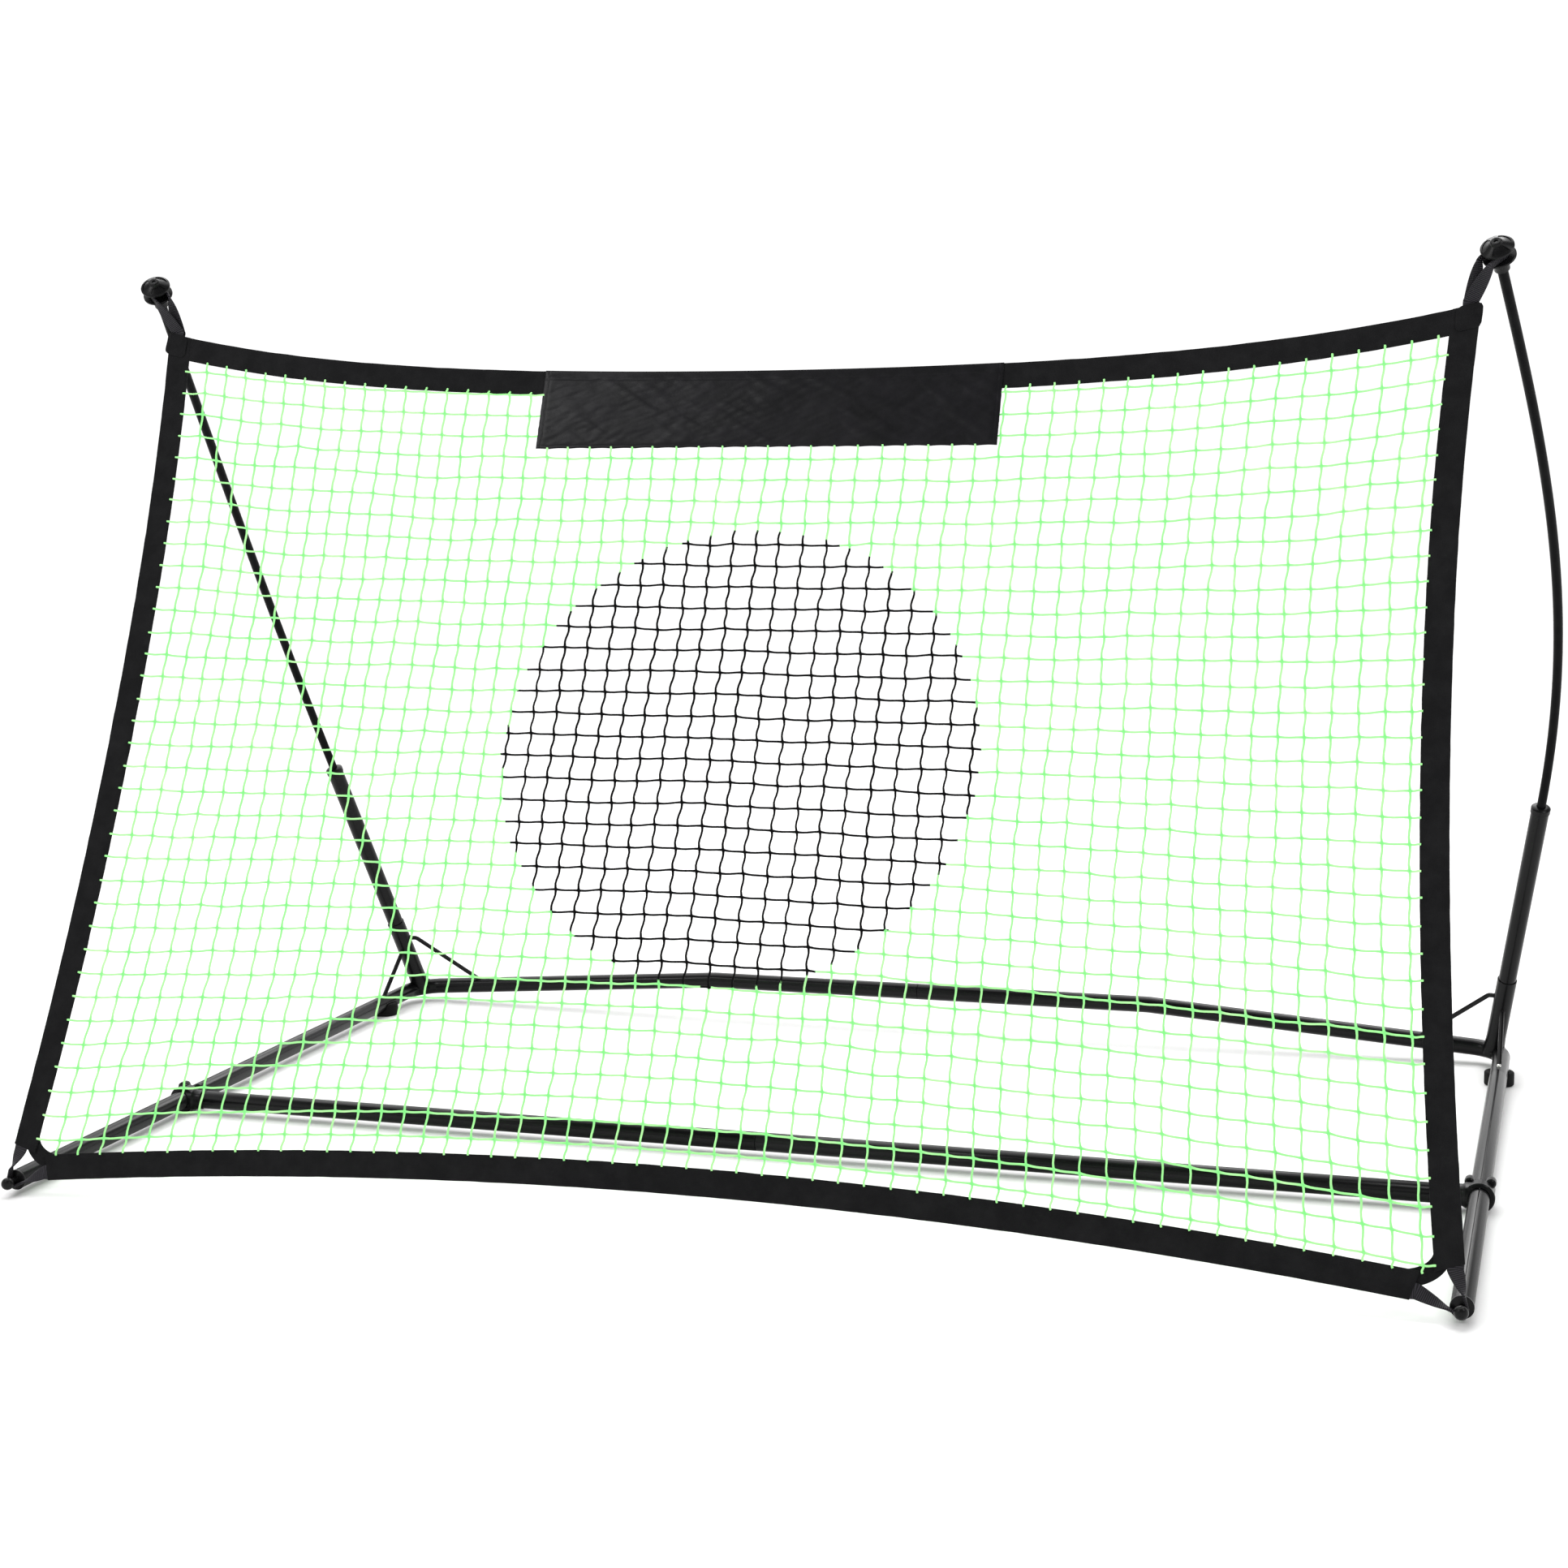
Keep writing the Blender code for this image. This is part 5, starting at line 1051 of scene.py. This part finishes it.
# Sockets welded on the corners, their braces, the uprights and the collars
def makeUprights():
    socket = {"length": 0.1375, "inner": 0.0131, "outer": 0.0142, "flare": 0.0024, "flareL": 0.022}
    brace = {"radius": 0.0035, "rearU": 0.1045, "rearX": 0.130, "knee": 0.024, "frontU": 0.0894, "frontY": 1.070}
    for side, tag in sides:
        lean, corner = leanOf(side), cornerPoint(side)
        knots = [axisPoint(base["seam"], side), axisPoint(base["rear"], side), rearBarPoint(side * base["archHalf"]), rearBarPoint(0)]
        path = roundCorners(knots, (base["elbowR"], base["archBendR"]), (20, 4))
        outline = [(socket["outer"] - 0.0006, socket["length"]), (socket["outer"], socket["length"] - 0.0006), (socket["outer"], socket["flareL"] * 1.4),
                   (socket["outer"] + socket["flare"] * 0.3, socket["flareL"] * 0.8), (socket["outer"] + socket["flare"], 0), (socket["inner"], 0), (socket["inner"], socket["length"])]
        piece = lathe("socketTube_" + tag, outline, turnTo(corner, lean), 48, True)
        cutWith(piece, rod("cope", path, [base["tubeR"] + base["gap"]] * len(path), 40))
        finishPiece(piece, powderCoat, "black_powder_coat", ("socket_" + tag,))

        bar = BVHTree.FromObject(bpy.data.objects["rearBar_" + tag], bpy.context.evaluated_depsgraph_get())
        frameAt = turnTo(corner, lean)
        ring = []
        for n in range(49):
            turn = math.tau * n / 48
            spot = frameAt @ Vector((socket["outer"] * 1.12 * math.cos(turn), socket["outer"] * 1.12 * math.sin(turn), 0.009))
            ring.append(spot.lerp(bar.find_nearest(spot)[0], 0.75))
        bead = weldBead("socketWeld_" + tag, ring, 0.0019)
        finishPiece(bead, powderCoat, "black_powder_coat")

        high = corner + lean * brace["rearU"]
        land = rearBarPoint(side * (base["half"] - brace["rearX"]))
        flat = Vector((land.x - high.x, land.y - high.y, 0)).normalized()
        knee = high + flat * brace["knee"]
        low = axisPoint(brace["frontY"], side)
        start = corner + lean * brace["frontU"]
        for name, route, node in (("rearBrace_", [high, knee, land], "rear_brace_"), ("frontBrace_", [start, low], "front_brace_")):
            if len(route) == 3:
                route = roundCorners(route, (0.012,), (8,))
            enter = (route[1] - route[0]).normalized()
            leave = (route[-1] - route[-2]).normalized()
            route[0] = route[0] + enter * 0.0135
            route[-1] = route[-1] - leave * 0.0122
            piece = rod(name + tag, route, [brace["radius"]] * len(route), 20)
            finishPiece(piece, powderCoat, "black_powder_coat", (node + tag,))
            blobs = []
            for spot, way in ((route[0], enter), (route[-1], -leave)):
                side1 = way.orthogonal().normalized()
                side2 = way.cross(side1)
                blobs.append([(spot + (side1 * math.cos(math.tau * n / 14) + side2 * math.sin(math.tau * n / 14)) * brace["radius"] + way * 0.0006,
                               0.0013 * (1 + 0.25 * dice.uniform(-1, 1))) for n in range(15)])
            bead = strandMesh(name + "weld_" + tag, blobs, 8)
            finishPiece(bead, powderCoat, "black_powder_coat")

        radius, bore, length = base["tubeR"], base["boreR"], upright["length"] - upright["seat"]
        outline = [(radius - 0.0004, length), (radius, length - 0.0004), (radius, 0), (bore, 0), (bore, length)]
        piece = lathe("uprightTube_" + tag, outline, turnTo(corner + lean * upright["seat"], lean), 48, True)
        finishPiece(piece, powderCoat, "black_powder_coat", ("upright_tube_" + tag,))

        hole, lip, gap = pole["radius"] + 0.0003, radius + 0.001, base["gap"]
        topAt = gap + upright["collar"]
        shoulder = topAt + upright["cone"] * 0.8
        outline = [(hole + 0.0008, topAt + upright["cone"]), (hole + 0.0028, topAt + upright["cone"] - 0.0004), (lip - 0.0014, shoulder), (lip, shoulder - 0.0014), (lip, gap),
                   (base["spigotR"], gap), (base["spigotR"], gap - 0.022), (hole, gap - 0.022), (hole, topAt + upright["cone"])]
        piece = lathe("collarMoulding_" + tag, outline, turnTo(corner + lean * upright["length"], lean), 48, True)
        finishPiece(piece, mouldedNylon, "black_nylon", ("tube_collar_" + tag,))

        foot, lowHandle, highHandle, tip = poleBow(side)
        points = [foot - lean * pole["inTube"]]
        for n in range(61):
            t = n / 60
            points.append((1 - t) ** 3 * foot + 3 * (1 - t) ** 2 * t * lowHandle + 3 * (1 - t) * t * t * highHandle + t ** 3 * tip)
        points.append(tip + tipFrame(side)[1] * pole["inCap"])
        piece = rod("poleRod_" + tag, points, [pole["radius"]] * len(points), 28)
        finishPiece(piece, fibreglass, "black_fibreglass", ("pole_" + tag,))


makeUprights()


# Pole caps: two discs with a neck for the webbing, a coned top with pockets, and a screw in the hub
def makeCaps():
    for side, tag in sides:
        tip, ahead = tipFrame(side)
        place = turnTo(tip, ahead)
        top = capUpper + cap["rim"] + cap["cone"]
        rim, hub, screw, rounding = cap["rimR"], cap["hubR"], cap["screwR"], 0.0006
        hole = pole["radius"] + 0.0003
        outline = [(0, top), (screw, top), (screw, top + cap["hubH"] - rounding), (screw + rounding, top + cap["hubH"]),
                   (hub - 0.0018, top + cap["hubH"]), (hub - 0.0006, top + cap["hubH"] - 0.0008), (hub, top),
                   (rim - rounding, capUpper + cap["rim"]), (rim, capUpper + cap["rim"] - rounding), (rim, capUpper + rounding), (rim - rounding, capUpper),
                   (cap["neckR"], capUpper), (cap["neckR"], capNeck), (rim - rounding, capNeck), (rim, capNeck - rounding), (rim, capLower + rounding),
                   (rim - rounding, capLower), (cap["sleeveR"] + 0.002, cap["sleeveL"] + 0.001), (cap["sleeveR"], cap["sleeveL"] - 0.001), (cap["sleeveR"], 0.0008),
                   (cap["sleeveR"] - 0.0008, 0), (hole, 0), (hole, pole["inCap"] + base["gap"]), (0, pole["inCap"] + base["gap"])]
        piece = lathe("capMoulding_" + tag, outline, place, 64)
        slope = cap["cone"] / (hub - rim + rounding)
        for n in range(3):
            middle = math.tau * (n + 0.5) / 3
            shape = bmesh.new()
            bmesh.ops.create_grid(shape, x_segments=10, y_segments=1, size=0.5)
            for vert in shape.verts:
                angle = middle + vert.co.x * math.radians(cap["pocketArc"])
                radius = cap["pocketR"][0] if vert.co.y < 0 else cap["pocketR"][1]
                vert.co = (radius * math.cos(angle), radius * math.sin(angle), top + (radius - hub) * slope - cap["pocketDepth"])
            lift = bmesh.ops.extrude_face_region(shape, geom=shape.faces[:])
            bmesh.ops.translate(shape, vec=(0, 0, 0.008), verts=[item for item in lift["geom"] if isinstance(item, bmesh.types.BMVert)])
            bmesh.ops.recalc_face_normals(shape, faces=shape.faces)
            bmesh.ops.transform(shape, matrix=place, verts=shape.verts)
            cutWith(piece, pieceFrom(shape, "pocket"))
        softenEdges(piece, 0.0004)
        finishPiece(piece, mouldedNylon, "black_nylon", ("pole_cap_" + tag,))
        head = [(0, 0.0009), (0.0006, 0.0009), (0.0008, 0.0014), (0.0018, 0.0012), (0.0021, 0.0004), (0.0021, 0), (0, 0)]
        piece = lathe("capScrew_" + tag, [(r, top + 0.0002 + z) for r, z in head], place, 24)
        finishPiece(piece, springSteel, "spring_steel")


# Crossbar clips: ring, open jaws with rolled ears, and the socketed arm
def makeClips():
    clip = {"bore": 0.0134, "ring": 0.0177604, "ringL": 0.022, "band": 0.0012, "bandL": 0.008, "jawL": 0.020, "mouth": 100,
            "ear": (0.0128, 0.0126), "armL": 0.012, "armLip": 0.001, "spigotL": 0.034, "flare": 0.0028, "tabW": 0.0036, "tabH": 0.0007}
    def boreAt(middle):
        return rod("bore", [middle - along * 0.05, middle + along * 0.07], [clip["bore"]] * 2, 48)

    for side, tag in sides:
        middle = axisPoint(base["crossbar"], side)
        place = turnTo(middle, along)
        front, rear = -clip["ringL"] / 2, clip["ringL"] / 2
        tail, ring = rear + clip["jawL"], clip["ring"]
        outline = [(0, tail), (ring, tail), (ring, rear + 0.0014), (ring - 0.0007, rear + 0.0007), (ring, rear), (ring, front + clip["bandL"] + 0.0012),
                   (ring - 0.0006, front + clip["bandL"] + 0.0006), (ring, front + clip["bandL"]),
                   (ring + clip["band"], front + clip["bandL"] - clip["band"]), (ring + clip["band"], front + 0.0012), (ring + clip["band"] - 0.0012, front), (0, front)]
        piece = lathe("clipMoulding_" + tag, outline, place, 56)
        reach = ring * 2
        spread = reach * math.tan(math.radians(clip["mouth"] / 2))
        shape = bmesh.new()
        corners = [middle + along * rear + Vector((x, 0, 0)) + upward * z for x, z in ((-0.0006, 0), (0.0006, 0), (spread, reach), (-spread, reach))]
        face = shape.faces.new([shape.verts.new(corner) for corner in corners])
        pulled = bmesh.ops.extrude_face_region(shape, geom=[face])
        bmesh.ops.translate(shape, vec=along * clip["jawL"] * 2, verts=[item for item in pulled["geom"] if isinstance(item, bmesh.types.BMVert)])
        bmesh.ops.recalc_face_normals(shape, faces=shape.faces)
        cutWith(piece, pieceFrom(shape, "mouth"))
        cutWith(piece, boreAt(middle))
        for edge in (-1, 1):
            ear = middle + Vector((edge * clip["ear"][0], 0, 0)) + upward * clip["ear"][1]
            points = [ear + along * (rear + d) for d in (0.0004, 0.0022, 0.0085, 0.0150, 0.0185, 0.0200)]
            cutWith(piece, cutWith(rod("ear", points, [0.0044, 0.0062, 0.0067, 0.0062, 0.0048, 0.0028], 20), boreAt(middle)), "UNION")
        shoulder = base["tubeR"] + clip["armLip"]
        length = ring + clip["armL"]
        steps = [(0, shoulder + clip["flare"]), (ring - 0.001, shoulder + clip["flare"] * 0.8), (ring + 0.0012, shoulder + clip["flare"] * 0.3),
                 (ring + 0.003, shoulder), (length - 0.0006, shoulder), (length, shoulder - 0.0006), (length + 0.0003, base["spigotR"]), (length + clip["spigotL"], base["spigotR"])]
        arm = rod("arm", [middle + Vector((-side * d, 0, 0)) for d, r in steps], [r for d, r in steps], 40)
        cutWith(piece, cutWith(arm, boreAt(middle)), "UNION")
        shape = bmesh.new()
        bmesh.ops.create_cube(shape, size=1)
        low, high = clip["bore"] + 0.001, ring + clip["tabH"]
        bmesh.ops.scale(shape, vec=(clip["tabW"], clip["ringL"] * 0.75, high - low), verts=shape.verts)
        bmesh.ops.translate(shape, vec=middle + along * clip["ringL"] * 0.07 + upward * (high + low) / 2, verts=shape.verts)
        cutWith(piece, pieceFrom(shape, "tab"), "UNION")
        softenEdges(piece, 0.0004)
        finishPiece(piece, mouldedNylon, "black_nylon", ("bar_clip_" + tag,), "crossbar")


makeCaps()
makeClips()
print("caps and clips moulded")
